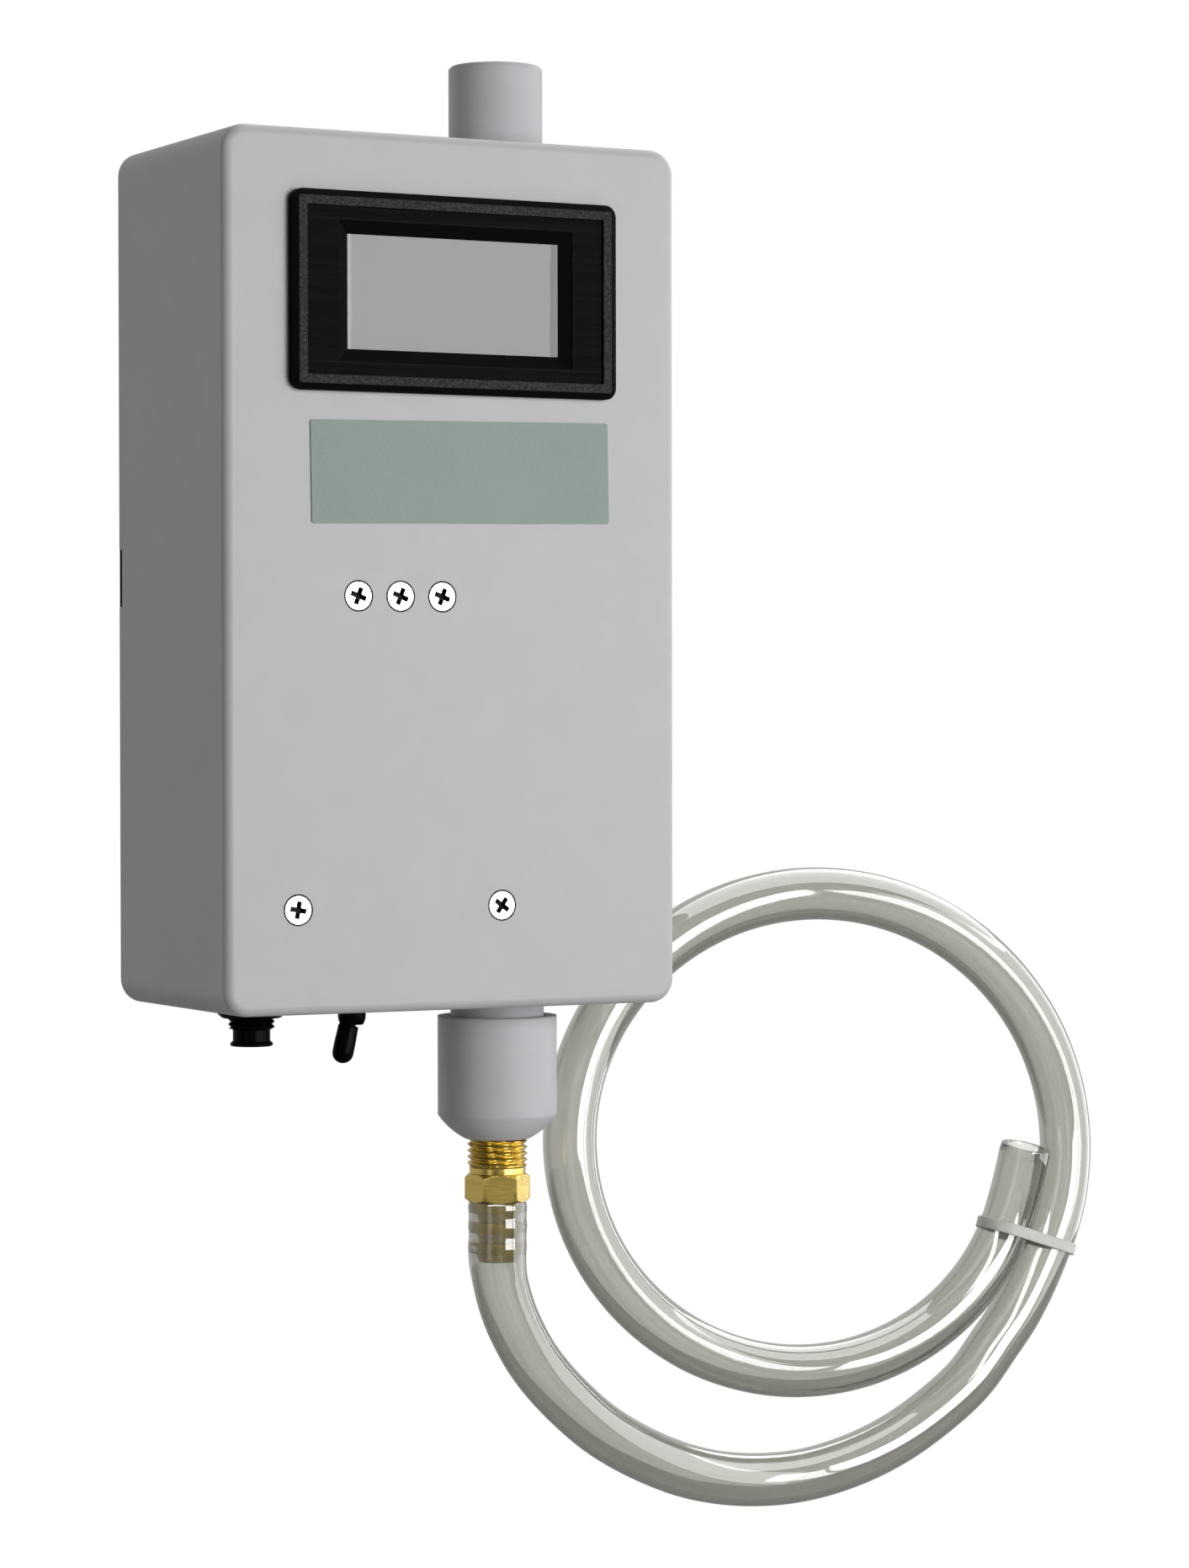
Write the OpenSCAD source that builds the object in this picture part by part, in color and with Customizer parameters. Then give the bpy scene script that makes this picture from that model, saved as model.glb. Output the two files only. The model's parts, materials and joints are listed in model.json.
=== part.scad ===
// Air flow meter: a moulded case with a panel display, a pipe through it and a clear hose.
// Millimetres, +Z up, the front faces -Y. The origin is the middle of the flat back.

/* [Case] */
// Width of the case
case_w = 110; // [104:1:130]
// Height of the case
case_h = 191.5; // [186:0.5:215]
// Depth of the case, from its front to its flat back
case_d = 60; // [58:1:70]
// Radius of the corners of the case's outline
corner_r = 5.5; // [5:0.5:8]
// Rounding of the case's front edge
edge_r = 2; // [1:0.5:3]
// Thickness of the case's walls
wall = 3; // [2.5:0.1:3.4]
// Thickness of the rim that surrounds the rear lid
rim_t = 1.8; // [1.4:0.1:2]
// Thickness of the rear lid
lid_t = 3; // [2.5:0.1:4]
// Length of the pry notch in the rim
notch_l = 13; // [8:1:20]
// Diameter of the lid screws' bosses
boss_d = 8; // [7:0.5:9]
// Number of pairs of board guide ribs on each side wall
rib_pairs = 5; // [2:1:6]
// Clearance between pieces that fit together
fit = 0.2; // [0.1:0.05:0.3]

/* [Panel meter] */
// Width of the meter's bezel
bezel_w = 78.8; // [76:0.2:82]
// Height of the meter's bezel
bezel_h = 43.2; // [41:0.2:46]
// How far the bezel stands out from the case
bezel_t = 2.6; // [2.4:0.1:3.6]
// Width of the bezel's raised rim with its outer bevel
bezel_rim = 3.4; // [2.8:0.1:4]
// Distance from the case's top to the middle of the bezel
meter_drop = 35; // [32:0.5:40]
// Middle of the bezel, left or right of the case's middle
meter_x = -0.5; // [-2:0.5:1]
// Width of the visible display
view_w = 50.8; // [46:0.2:52]
// Height of the visible display
view_h = 24.4; // [22:0.2:25.4]
// Width of the sloping border round the display
slope_w = 3; // [2:0.1:3.4]
// Depth of the meter's housing behind the case's front face
housing_d = 15.5; // [14:0.5:17]

/* [Label] */
// Width of the bare label
label_w = 72.6; // [60:0.2:80]
// Height of the bare label
label_h = 22.4; // [18:0.2:26]
// Thickness of the label
label_t = 0.3; // [0.2:0.05:0.5]
// Distance from the case's top to the middle of the label
label_drop = 73.5; // [70:0.5:78]
// Middle of the label, right of the case's middle
label_x = 1.5; // [-2:0.5:4]
// Tilt of the label in degrees, as it was stuck on by hand
label_tilt = 0.9; // [0:0.1:1.5]

/* [Front screws] */
// Diameter of the countersunk heads
head_d = 6.7; // [6.2:0.1:7.2]
// Diameter of the screws' shanks
shank_d = 3.5; // [3:0.1:4]
// Length of the front screws
screw_l = 9.5; // [9:0.5:12]
// Distance between neighbours in the row of three
row_pitch = 10.1; // [9:0.1:11]
// Middle of the row and of the lower pair, left of the case's middle
screws_x = -13.4; // [-15:0.1:-12]
// Height of the row of three above the case's bottom
row_z = 90.7; // [86:0.1:94]
// Distance between the two lower screws
pair_span = 49.2; // [46:0.2:51]
// Height of the lower pair above the case's bottom
pair_z = 22.8; // [20:0.2:26]

/* [Pipe] */
// Outside diameter of the plastic pipe
pipe_d = 21.34; // [20.5:0.01:22]
// Bore of the plastic pipe
pipe_bore = 15.8; // [14.5:0.1:16.4]
// Pipe's axis, right of the case's middle
pipe_x = 25; // [24:0.5:27]
// Distance of the pipe's axis behind the case's front
pipe_front = 30; // [29:0.5:32]
// Length of pipe that stands out of the case's top
pipe_out = 20.5; // [14:0.5:30]
// Outside diameter of the pipe cap
cap_d = 27.2; // [26.6:0.2:29]
// Length of the pipe cap
cap_l = 28.1; // [26.6:0.1:30]
// Depth of the cap's socket
cap_socket_l = 20; // [16:0.5:20]
// Gap between the case's bottom and the cap's rim
cap_gap = 3.7; // [2:0.1:6]
// Height of the cap's domed end
dome_h = 5.5; // [4.5:0.1:6]
// Radius of the flat in the middle of the cap's end
dome_flat_r = 7.4; // [7.2:0.1:8]

/* [Hose fitting] */
// Diameter of the fitting's thread
thread_d = 13.7; // [13:0.1:14]
// Length of thread that shows below the cap
thread_l = 6.4; // [4:0.2:8]
// Diameter of the collar between thread and hexagon
collar_d = 12.8; // [12:0.1:13.4]
// Length of the collar
collar_l = 1.65; // [1:0.05:2.5]
// Hexagon's size across its flats
hex_af = 13; // [12.7:0.1:14.3]
// Length of the hexagon
hex_l = 6.4; // [5:0.1:8]
// Diameter over the barbs
barb_d = 10.2; // [9.8:0.1:10.2]
// Length of the barbed end
barb_l = 13.6; // [12:0.1:14]
// Number of barbs
barbs = 3; // [2:1:4]
// Bore of the fitting
barb_bore = 6.4; // [5:0.1:7]

/* [Hose] */
// Outside diameter of the hose
hose_d = 12.7; // [12:0.1:12.7]
// Wall of the hose
hose_wall = 1.6; // [1.2:0.1:1.8]
// Distance of the coil's centre line from the plane of the back
coil_off = 10; // [9.8:0.1:11]
// Radius of the coil where it starts, measured up and down
coil_r = 63.9; // [62:0.1:66]
// How much the coil's radius shrinks in one turn
coil_pitch = 12; // [12:0.1:14]
// How much wider than high the coil is
coil_oval = 1.147; // [1.14:0.001:1.2]
// Width of the cable tie
tie_w = 2.8; // [2.4:0.1:3.6]
// Thickness of the cable tie
tie_t = 1.1; // [0.8:0.1:1.4]

/* [Power jack] */
// Distance of the jack's axis from the case's left side
jack_inset = 19; // [18:0.5:21]
// Diameter of the jack's round nut
jack_nut_d = 14; // [12.5:0.1:15]
// Thickness of the jack's nut
jack_nut_t = 2.3; // [1.8:0.1:3]
// Diameter of the jack's thread
jack_thread_d = 10.3; // [9.8:0.1:10.8]
// Diameter of the jack's barrel
jack_barrel_d = 8.3; // [7.8:0.1:8.8]
// Diameter of the lip at the jack's mouth
jack_lip_d = 9.5; // [9:0.1:10]
// Length of the jack outside the case
jack_out = 8.5; // [7.5:0.1:10]
// Bore of the jack's socket
jack_bore = 6.2; // [5.6:0.1:6.4]

/* [Toggle switch] */
// Switch's axis, left of the case's middle
switch_x = -11.5; // [-13:0.5:-10]
// Diameter of the switch's round nut
switch_nut_d = 6.2; // [5.8:0.1:7]
// Length of the nut below the case
switch_nut_l = 4.6; // [4.4:0.1:5]
// Diameter of the lever's bat
bat_d = 4.8; // [4:0.1:5]
// Length of the bat
bat_l = 8.2; // [6:0.2:10]
// Tilt of the lever to each side, in degrees
lever_tilt = 13; // [10:1:13]

/* [Flow sensor] */
// Outside diameter of the sensor body
sensor_d = 28; // [27:0.5:29]
// Length of the sensor body
sensor_l = 60; // [54:1:64]
// Bore of the sensor body between its sockets
sensor_bore = 15; // [13:0.1:15.4]
// Depth of the sockets that hold the pipes
socket_l = 18; // [15:0.5:19]
// Diameter of the probe
probe_d = 8; // [7:0.2:8.4]
// Thickness of the sensor's sheet metal bracket
bracket_t = 1.5; // [1.2:0.1:2]

/* [Boards] */
// Width of the main board
board_w = 60; // [56:1:61]
// Height of the main board
board_h = 40; // [36:1:44]
// Thickness of the circuit boards
board_t = 1.6; // [1.2:0.1:1.6]
// Length of the spacers between the case and the main board
spacer_l = 10; // [9:0.5:11]

/* [Hidden] */
$fn = 48;

// Overrun of every cut past the face that it opens
cut = 0.5;
// Clearance of turned pieces in their bores
slip = 0.1;

// Faces of the case
case_top = case_h / 2;
case_bottom = -case_h / 2;
front_y = -case_d;
panel_y = front_y + wall;
ledge_y = -lid_t;
floor_z = case_bottom + wall;
pipe_y = front_y + pipe_front;
cavity_w = case_w - 2 * wall;
cavity_h = case_h - 2 * wall;
cavity_r = corner_r - wall;

// Lid, its screws and the bosses that take them
lid_w = case_w - 2 * rim_t - 2 * fit;
lid_h = case_h - 2 * rim_t - 2 * fit;
lid_r = corner_r - rim_t - fit;
boss_inset_share = 0.4;
boss_inset = boss_d * boss_inset_share;
boss_x = cavity_w / 2 - boss_inset;
boss_z = cavity_h / 2 - boss_inset;
lid_head_d = 5.6;
lid_shank_d = 2.9;
lid_screw_l = 13;
lid_screw_sink = 0.3;
head_land = 0.4;
lip_t = 1.5;
lip_h = 3;
rib_t = 1.2;
rib_out = 2;
rib_slot = 2;
rib_end_y = ledge_y - lip_h - 2 * fit;
notch_d = 1.6;

// Panel meter
meter_z = case_top - meter_drop;
bezel_r = 2.6;
bezel_bevel = 1.4;
bezel_bevel_d = 0.6;
pocket_d = 0.6;
fascia_t = 0.4;
land_y = front_y - bezel_t + pocket_d + fascia_t;
slope_d = 1.3;
glass_front_y = land_y + slope_d;
glass_lap = 1.6;
glass_w = view_w + 2 * glass_lap;
glass_h = view_h + 2 * glass_lap;
glass_r = 0.6;
glass_plate_t = 1.1;
glass_t = 2.9;
glass_back_y = glass_front_y + glass_t;
glass_step = 1.2;
bezel_lap_w = 5.4;
bezel_lap_h = 4.9;
housing_w = bezel_w - 2 * bezel_lap_w;
housing_h = bezel_h - 2 * bezel_lap_h;
housing_r = 1.2;
housing_wall = 1.5;
housing_back_y = front_y + housing_d;
strip_w_share = 0.9;
strip_w = view_w * strip_w_share;
strip_h = 2.2;
strip_t = 2;
board_front_y = glass_back_y + strip_t;
post_d = 3.4;
pole_pitch = 5.08;
poles = 5;
terminal_h = 10;
terminal_out = 6.5;
terminal_x = meter_x - housing_w / 4 + pole_pitch;
wire_hole_d = 2.6;
driver_hole_d = 3.2;
clip_w = 9;
clip_l = 7;
clip_t = 2.4;
clip_foot = 3;

// Label
label_z = case_top - label_drop;
label_r = 0.6;

// Front screws, nuts and bracket
head_t = 2;
row_zc = case_bottom + row_z;
pair_zc = case_bottom + pair_z;
hole_slack = 0.15;
nut_af = 7.9;
nut_t = 2.8;

// Flow sensor and its bracket
sensor_z = row_zc;
boss_root_d = 18;
boss_root_l = 1.5;
root_x = pipe_x - sensor_d / 2 - boss_root_l;
side_boss_d = 12;
side_boss_l = 11.5;
boss_end_x = root_x - side_boss_l;
lock_af = 17;
lock_t = 4.5;
bracket_h = 24;
bracket_bend_r = 1.5;
bracket_x0 = screws_x - row_pitch - head_d;
bracket_y1 = pipe_y + side_boss_d;
probe_head_d = 11;
probe_head_t = 2;
probe_tip_gap = 1;
groove_w = 2.2;
seal_d = 1.4;
groove_off = 5;
stem_d = 0.9;
bead_d = 2;
bead_gap = 3.4;
probe_board_w = 16;
probe_board_h = 22;
straightener_l = 10;
straightener_hole_d = 2.4;
straightener_pitch = 2.95;

// Pipes and cap
tip_chamfer = 0.6;
sensor_top = sensor_z + sensor_l / 2;
sensor_low = sensor_z - sensor_l / 2;
pipe_top = case_top + pipe_out;
outlet_low = sensor_top - socket_l;
inlet_top = sensor_low + socket_l;
cap_top = case_bottom - cap_gap;
cap_low = cap_top - cap_l;
socket_floor = cap_top - cap_socket_l;
inlet_low = socket_floor + slip;
cap_rim_r = 0.8;
dome_centre = ((cap_d / 2) * (cap_d / 2) - dome_flat_r * dome_flat_r - dome_h * dome_h)
    / (2 * dome_h);
dome_r = sqrt((cap_d / 2) * (cap_d / 2) + dome_centre * dome_centre);

// Hose fitting
thread_top = socket_floor;
thread_low = cap_low - thread_l;
collar_low = thread_low - collar_l;
hex_low = collar_low - hex_l;
barb_low = hex_low - barb_l;
hex_turn = 39.5;
hex_bevel = 0.8;
thread_relief = 0.7;
stem_r = barb_d / 2 - 0.9;
barb_step = barb_l / barbs;
barb_lead = 0.9;
barb_land = 0.8;

// Hose: the free stretch from the fitting to the coil, by hand
hose_sides = 12;
swell_r = 0.4;
hose_r = hose_d / 2;
bore_r = hose_r - hose_wall;
lead_route = [
    [25, -30, -156],
    [26.5, -29.6, -163],
    [30, -28.5, -171],
    [36.5, -26.5, -180.5],
    [46, -24, -190],
    [58, -20.5, -199],
    [72, -17, -206.5],
    [86.5, -14, -212],
    [101.5, -11.5, -215],
    [116.5, -10.3, -215.5],
    [130.5, -10, -213.3],
    [143.5, -10, -209],
    [155.3, -10, -202.8],
    [165.5, -10, -195.6],
    [173, -10, -187.3]];
// Hose: the coil, a turn by formula with straight ends
coil_x = 120.7;
coil_z = -135.3;
coil_skew = 1.15;
coil_from = -30;
coil_to = 343;
coil_steps = 30;
lift_from = 334;
coil_lift = 0.77;
tuck_share = 0.5;
coil_y = -coil_off;

// Cable tie
tie_angle = -25;
tie_lead = 1;
tie_gap = 0.35;
tie_head_w = 4.8;
tie_head_t = 3.1;
tie_slot_t = 1.3;

// Power jack
jack_x = jack_inset - case_w / 2;
jack_thread_out = jack_nut_t * 2;
jack_lip_l = 1.1;
jack_lip_slope = 0.5;
jack_nut_bevel = 0.9;
jack_flange_d = 14;
jack_flange_t = 2;
jack_core_d = 11;
jack_core_l = 10;
jack_socket_l = 12;
jack_pin_d = 2.1;
jack_pin_back = 1;
lug_w = 2.4;
lug_t = 0.6;
lug_l = 5;
lug_r = 3;

// Toggle switch
bushing_d = 4.8;
bushing_bore = 3.7;
bushing_out = 3.4;
switch_w = 12.7;
switch_depth = 8;
switch_body_l = 10;
pivot_drop = 1.2;
pivot_z = case_bottom - pivot_drop;
ball_d = 3.4;
neck_d = 2;
bat_gap = 0.7;
pin_d = 0.9;
nut_bevel = 0.7;
switch_lug_w = 2;
switch_lug_t = 0.6;
switch_lug_l = 4;
switch_lug_pitch = 4;

// Boards
board_front = panel_y + spacer_l;
board_back = board_front + board_t;
board_shift_share = 0.15;
board_zc = pair_zc + board_h * board_shift_share;
spacer_d = 6.4;
rear_screw_l = 5;
rear_head_d = 6;
rear_head_t = 2.2;
can_d = 8;
can_l = 9;
chip_w = 10;
chip_h = 6.4;
chip_t = 2.4;
regulator_w = 10;
regulator_h = 4.6;
regulator_l = 8;
relay_w = 12;
relay_h = 7;
relay_l = 6;
plug_w = 15.24;
plug_h = 8;
plug_l = 7;
can_place_shares = [[-0.36, 0.27], [-0.16, 0.27]];
chip_place_shares = [[0.06, 0.3], [0.06, -0.02], [-0.26, -0.02]];
regulator_place_shares = [-0.02, -0.35];
relay_place_shares = [-0.32, -0.32];
plug_place_shares = [0.3, 0.28];
plug_floor_share = 0.25;

// Outline with round corners, in the plane of X and Z
module round_rect(w, h, r) {
    square([w - 2 * r, h], center = true);
    square([w, h - 2 * r], center = true);
    for (sx = [-1, 1])
        for (sy = [-1, 1])
            translate([sx * (w / 2 - r), sy * (h / 2 - r)])
                circle(r = r);
}

// Plate between two depths, its outline centred on x and z
module slab(w, h, r, back, front, x = 0, z = 0) {
    translate([x, back, z])
        rotate([90, 0, 0])
            linear_extrude(height = back - front)
                round_rect(w, h, r);
}

// Straight-edged block between two depths, centred on x and z
module block(w, h, back, front, x = 0, z = 0) {
    translate([x - w / 2, front, z - h / 2])
        cube([w, back - front, h]);
}

// Round rod that runs back from depth y
module rod(r, l, x, y, z) {
    translate([x, y, z])
        rotate([-90, 0, 0])
            cylinder(r = r, h = l);
}

// Countersunk screw with its head's face at the origin, pointing to +Z
module flat_screw(head_r, shank_r, cone, l) {
    cylinder(r = head_r, h = head_land);
    translate([0, 0, head_land])
        cylinder(r1 = head_r, r2 = shank_r, h = cone - head_land);
    cylinder(r = shank_r, h = l);
}

// Seat for a countersunk screw, with clearance
module flat_seat(head_r, shank_r, cone, depth) {
    translate([0, 0, -cut])
        cylinder(r = head_r + slip, h = head_land + slip + cut);
    translate([0, 0, head_land + slip])
        cylinder(r1 = head_r + slip, r2 = shank_r + hole_slack, h = cone - head_land);
    cylinder(r = shank_r + hole_slack, h = depth);
}

module hex_prism(af, l) {
    cylinder(d = af / cos(30), h = l, $fn = 6);
}

// Section through a side of the case, with the front edge rounded
module side_section() {
    square([corner_r, case_d - edge_r]);
    square([corner_r - edge_r, case_d]);
    translate([corner_r - edge_r, case_d - edge_r])
        circle(r = edge_r);
}

module side_strip(l) {
    rotate([180, 0, 0])
        linear_extrude(height = l)
            side_section();
}

module case_outside() {
    core_w = case_w - 2 * corner_r;
    core_h = case_h - 2 * corner_r;
    block(core_w, core_h, 0, front_y);
    for (s = [0, 1]) {
        mirror([s, 0, 0])
            translate([core_w / 2, 0, core_h / 2])
                side_strip(core_h);
        mirror([0, 0, s])
            translate([-core_w / 2, 0, core_h / 2])
                rotate([0, -90, 0])
                    side_strip(core_w);
        for (t = [0, 1])
            mirror([s, 0, 0])
                mirror([0, 0, t])
                    translate([core_w / 2, 0, core_h / 2])
                        rotate([90, 0, 0])
                            rotate_extrude()
                                side_section();
    }
}

// Places of the four lid screws
module at_bosses() {
    for (sx = [-1, 1])
        for (sz = [-1, 1])
            translate([sx * boss_x, 0, sz * boss_z])
                children();
}

module guide_ribs() {
    rib_l = rib_end_y - panel_y;
    step = (cavity_h - 4 * boss_d) / (rib_pairs - 1);
    for (s = [0, 1])
        mirror([s, 0, 0])
            for (i = [0 : rib_pairs - 1])
                for (side = [-1, 1])
                    translate([cavity_w / 2 - rib_out, panel_y,
                        (i - (rib_pairs - 1) / 2) * step + side * (rib_slot + rib_t) / 2 - rib_t / 2])
                        cube([rib_out + cut, rib_l, rib_t]);
}

module at_row() {
    for (i = [-1 : 1])
        translate([screws_x + i * row_pitch, front_y, row_zc])
            children();
}

module at_pair() {
    for (s = [-1, 1])
        translate([screws_x + s * pair_span / 2, front_y, pair_zc])
            children();
}

module front_case() {
    color([0.72, 0.72, 0.74])
    difference() {
        union() {
            difference() {
                case_outside();
                slab(cavity_w, cavity_h, cavity_r, cut, panel_y);
            }
            at_bosses()
                translate([0, ledge_y, 0])
                    rotate([90, 0, 0])
                        cylinder(d = boss_d, h = ledge_y - panel_y);
            guide_ribs();
        }
        slab(lid_w + 2 * fit, lid_h + 2 * fit, lid_r + fit, cut, ledge_y);
        at_bosses()
            translate([0, -lid_screw_sink, 0])
                rotate([90, 0, 0])
                    cylinder(d = lid_shank_d + slip, h = lid_screw_l + cut);
        slab(housing_w + 2 * fit, housing_h + 2 * fit, housing_r, panel_y + cut, front_y - cut,
            meter_x, meter_z);
        at_row()
            rotate([-90, 0, 0])
                flat_seat(head_d / 2, shank_d / 2, head_t, wall + cut);
        at_pair()
            rotate([-90, 0, 0])
                flat_seat(head_d / 2, shank_d / 2, head_t, wall + cut);
        for (z = [case_top - wall - cut, case_bottom - cut])
            translate([pipe_x, pipe_y, z])
                cylinder(d = pipe_d + 2 * fit, h = wall + 2 * cut);
        translate([jack_x, pipe_y, case_bottom - cut])
            cylinder(d = jack_thread_d + fit, h = wall + 2 * cut);
        translate([switch_x, pipe_y, case_bottom - cut])
            cylinder(d = bushing_d + fit, h = wall + 2 * cut);
        translate([-case_w / 2 - cut, -notch_d, -notch_l / 2])
            cube([rim_t + 2 * cut, notch_d + cut, notch_l]);
    }
}

module rear_lid() {
    bar_w = cavity_w - 2 * (boss_inset + boss_d / 2) - 4 * fit;
    bar_h = cavity_h - 2 * (boss_inset + boss_d / 2) - 4 * fit;
    color([0.66, 0.66, 0.69])
    difference() {
        union() {
            slab(lid_w, lid_h, lid_r, 0, ledge_y);
            for (s = [-1, 1]) {
                block(bar_w, lip_t, ledge_y + cut, ledge_y - lip_h,
                    0, s * (cavity_h / 2 - fit - lip_t / 2));
                block(lip_t, bar_h, ledge_y + cut, ledge_y - lip_h,
                    s * (cavity_w / 2 - fit - lip_t / 2), 0);
            }
        }
        at_bosses()
            translate([0, -lid_screw_sink, 0])
                rotate([90, 0, 0])
                    flat_seat(lid_head_d / 2, lid_shank_d / 2, head_t, lid_t + cut);
    }
}

module lid_screws() {
    color([0.75, 0.75, 0.75])
    at_bosses()
        translate([0, -lid_screw_sink, 0])
            rotate([90, 0, 0])
                flat_screw(lid_head_d / 2, lid_shank_d / 2, head_t, lid_screw_l);
}

// Sloping border of the display, widest at the front
module display_slope() {
    hull() {
        block(view_w + 2 * slope_w, view_h + 2 * slope_w, land_y, land_y - slip, meter_x, meter_z);
        block(view_w, view_h, glass_front_y + slip, glass_front_y, meter_x, meter_z);
    }
}

module meter_bezel() {
    front = front_y - bezel_t;
    pocket_w = bezel_w - 2 * bezel_rim;
    pocket_h = bezel_h - 2 * bezel_rim;
    color([0.06, 0.06, 0.07])
    difference() {
        hull() {
            slab(bezel_w, bezel_h, bezel_r, front_y, front + bezel_bevel_d, meter_x, meter_z,
                $fn = 32);
            slab(bezel_w - 2 * bezel_bevel, bezel_h - 2 * bezel_bevel, bezel_r - bezel_bevel,
                front + bezel_bevel_d, front, meter_x, meter_z, $fn = 32);
        }
        slab(pocket_w, pocket_h, glass_r, land_y, front - cut, meter_x, meter_z);
        display_slope();
        slab(glass_w + 2 * fit, glass_h + 2 * fit, glass_r, front_y + cut, glass_front_y,
            meter_x, meter_z);
    }
}

module meter_fascia() {
    pocket_w = bezel_w - 2 * bezel_rim;
    pocket_h = bezel_h - 2 * bezel_rim;
    color([0.13, 0.13, 0.15])
    difference() {
        slab(pocket_w - fit, pocket_h - fit, glass_r - fit / 2, land_y, land_y - fascia_t,
            meter_x, meter_z);
        block(view_w + 2 * slope_w, view_h + 2 * slope_w, land_y + cut, land_y - fascia_t - cut,
            meter_x, meter_z);
    }
}

// Two plates of glass, the rear one lower, so that the front one has a ledge for its contacts
module meter_display() {
    color([0.68, 0.69, 0.66]) {
        slab(glass_w, glass_h, glass_r, glass_front_y + glass_plate_t, glass_front_y,
            meter_x, meter_z);
        slab(glass_w, glass_h - 2 * glass_step, glass_r, glass_back_y, glass_front_y + glass_plate_t,
            meter_x, meter_z);
    }
}

module display_strips() {
    color([0.3, 0.3, 0.32])
    for (s = [-1, 1])
        block(strip_w, strip_h, board_front_y, glass_back_y, meter_x,
            meter_z + s * (glass_h / 2 - glass_step - strip_h / 2));
}

module meter_housing() {
    inner_w = housing_w - 2 * housing_wall;
    inner_h = housing_h - 2 * housing_wall;
    post_y = board_front_y + board_t;
    color([0.09, 0.09, 0.1])
    difference() {
        union() {
            difference() {
                slab(housing_w, housing_h, housing_r, housing_back_y, front_y, meter_x, meter_z);
                slab(inner_w, inner_h, glass_r, housing_back_y - housing_wall, front_y - cut,
                    meter_x, meter_z);
            }
            for (sx = [-1, 1])
                for (sz = [-1, 1])
                    rod(post_d / 2, housing_back_y - post_y, meter_x + sx * (inner_w - post_d) / 2,
                        post_y, meter_z + sz * (inner_h - post_d) / 2);
        }
        block(poles * pole_pitch + 2 * fit, terminal_h + 2 * fit, housing_back_y + cut,
            housing_back_y - housing_wall - cut, terminal_x, meter_z);
    }
}

module meter_board() {
    color([0.1, 0.35, 0.18])
    block(housing_w - 2 * housing_wall - 2 * fit, housing_h - 2 * housing_wall - 2 * fit,
        board_front_y + board_t, board_front_y, meter_x, meter_z);
}

module meter_terminals() {
    from_y = board_front_y + board_t;
    to_y = housing_back_y + terminal_out;
    color([0.15, 0.45, 0.25])
    difference() {
        block(poles * pole_pitch, terminal_h, to_y, from_y, terminal_x, meter_z);
        for (i = [0 : poles - 1]) {
            x = terminal_x + (i - (poles - 1) / 2) * pole_pitch;
            rod(wire_hole_d / 2, terminal_out + cut, x, housing_back_y, meter_z - terminal_h / 4);
            rod(driver_hole_d / 2, terminal_out / 2 + cut, x, to_y - terminal_out / 2,
                meter_z + terminal_h / 4);
        }
    }
}

// Wedge that locks the housing against the inside of the case's front
module meter_clips() {
    color([0.09, 0.09, 0.1])
    for (s = [0, 1])
        translate([meter_x, 0, meter_z])
            mirror([s, 0, 0])
                translate([housing_w / 2, panel_y, clip_w / 2])
                    rotate([180, 0, 0])
                        linear_extrude(height = clip_w)
                            polygon([[0, 0], [clip_foot, 0], [clip_foot, -clip_t / 2],
                                [clip_t / 2, -clip_l], [0, -clip_l]]);
}

module front_label() {
    color([0.545, 0.627, 0.58])
    translate([label_x, 0, label_z])
        rotate([0, -label_tilt, 0])
            slab(label_w, label_h, label_r, front_y, front_y - label_t);
}

module bracket_screws() {
    color([0.8, 0.8, 0.8])
    at_row()
        rotate([-90, 0, 0])
            flat_screw(head_d / 2, shank_d / 2, head_t, screw_l);
}

module bracket_nuts() {
    color([0.7, 0.7, 0.7])
    at_row()
        translate([0, wall + bracket_t, 0])
            rotate([-90, 0, 0])
                difference() {
                    hex_prism(nut_af, nut_t);
                    translate([0, 0, -cut])
                        cylinder(d = shank_d + slip, h = nut_t + 2 * cut);
                }
}

// Bent sheet: one leg under the row of screws, the other behind, holding the sensor body
module bracket_section() {
    outer_r = bracket_bend_r + bracket_t;
    leg_x = root_x - outer_r;
    translate([bracket_x0, panel_y])
        square([leg_x - bracket_x0, bracket_t]);
    translate([root_x - bracket_t, panel_y + outer_r])
        square([bracket_t, bracket_y1 - panel_y - outer_r]);
    intersection() {
        difference() {
            translate([leg_x, panel_y + outer_r])
                circle(r = outer_r);
            translate([leg_x, panel_y + outer_r])
                circle(r = bracket_bend_r);
        }
        translate([leg_x, panel_y])
            square([outer_r, outer_r]);
    }
}

module sensor_bracket() {
    color([0.62, 0.64, 0.66])
    difference() {
        translate([0, 0, row_zc - bracket_h / 2])
            linear_extrude(height = bracket_h)
                bracket_section();
        at_row()
            rotate([-90, 0, 0])
                cylinder(d = shank_d + 2 * hole_slack, h = wall + bracket_t + cut);
        translate([root_x - bracket_t - cut, pipe_y, sensor_z])
            rotate([0, 90, 0])
                cylinder(d = side_boss_d + 2 * fit, h = bracket_t + 2 * cut);
    }
}

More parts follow.
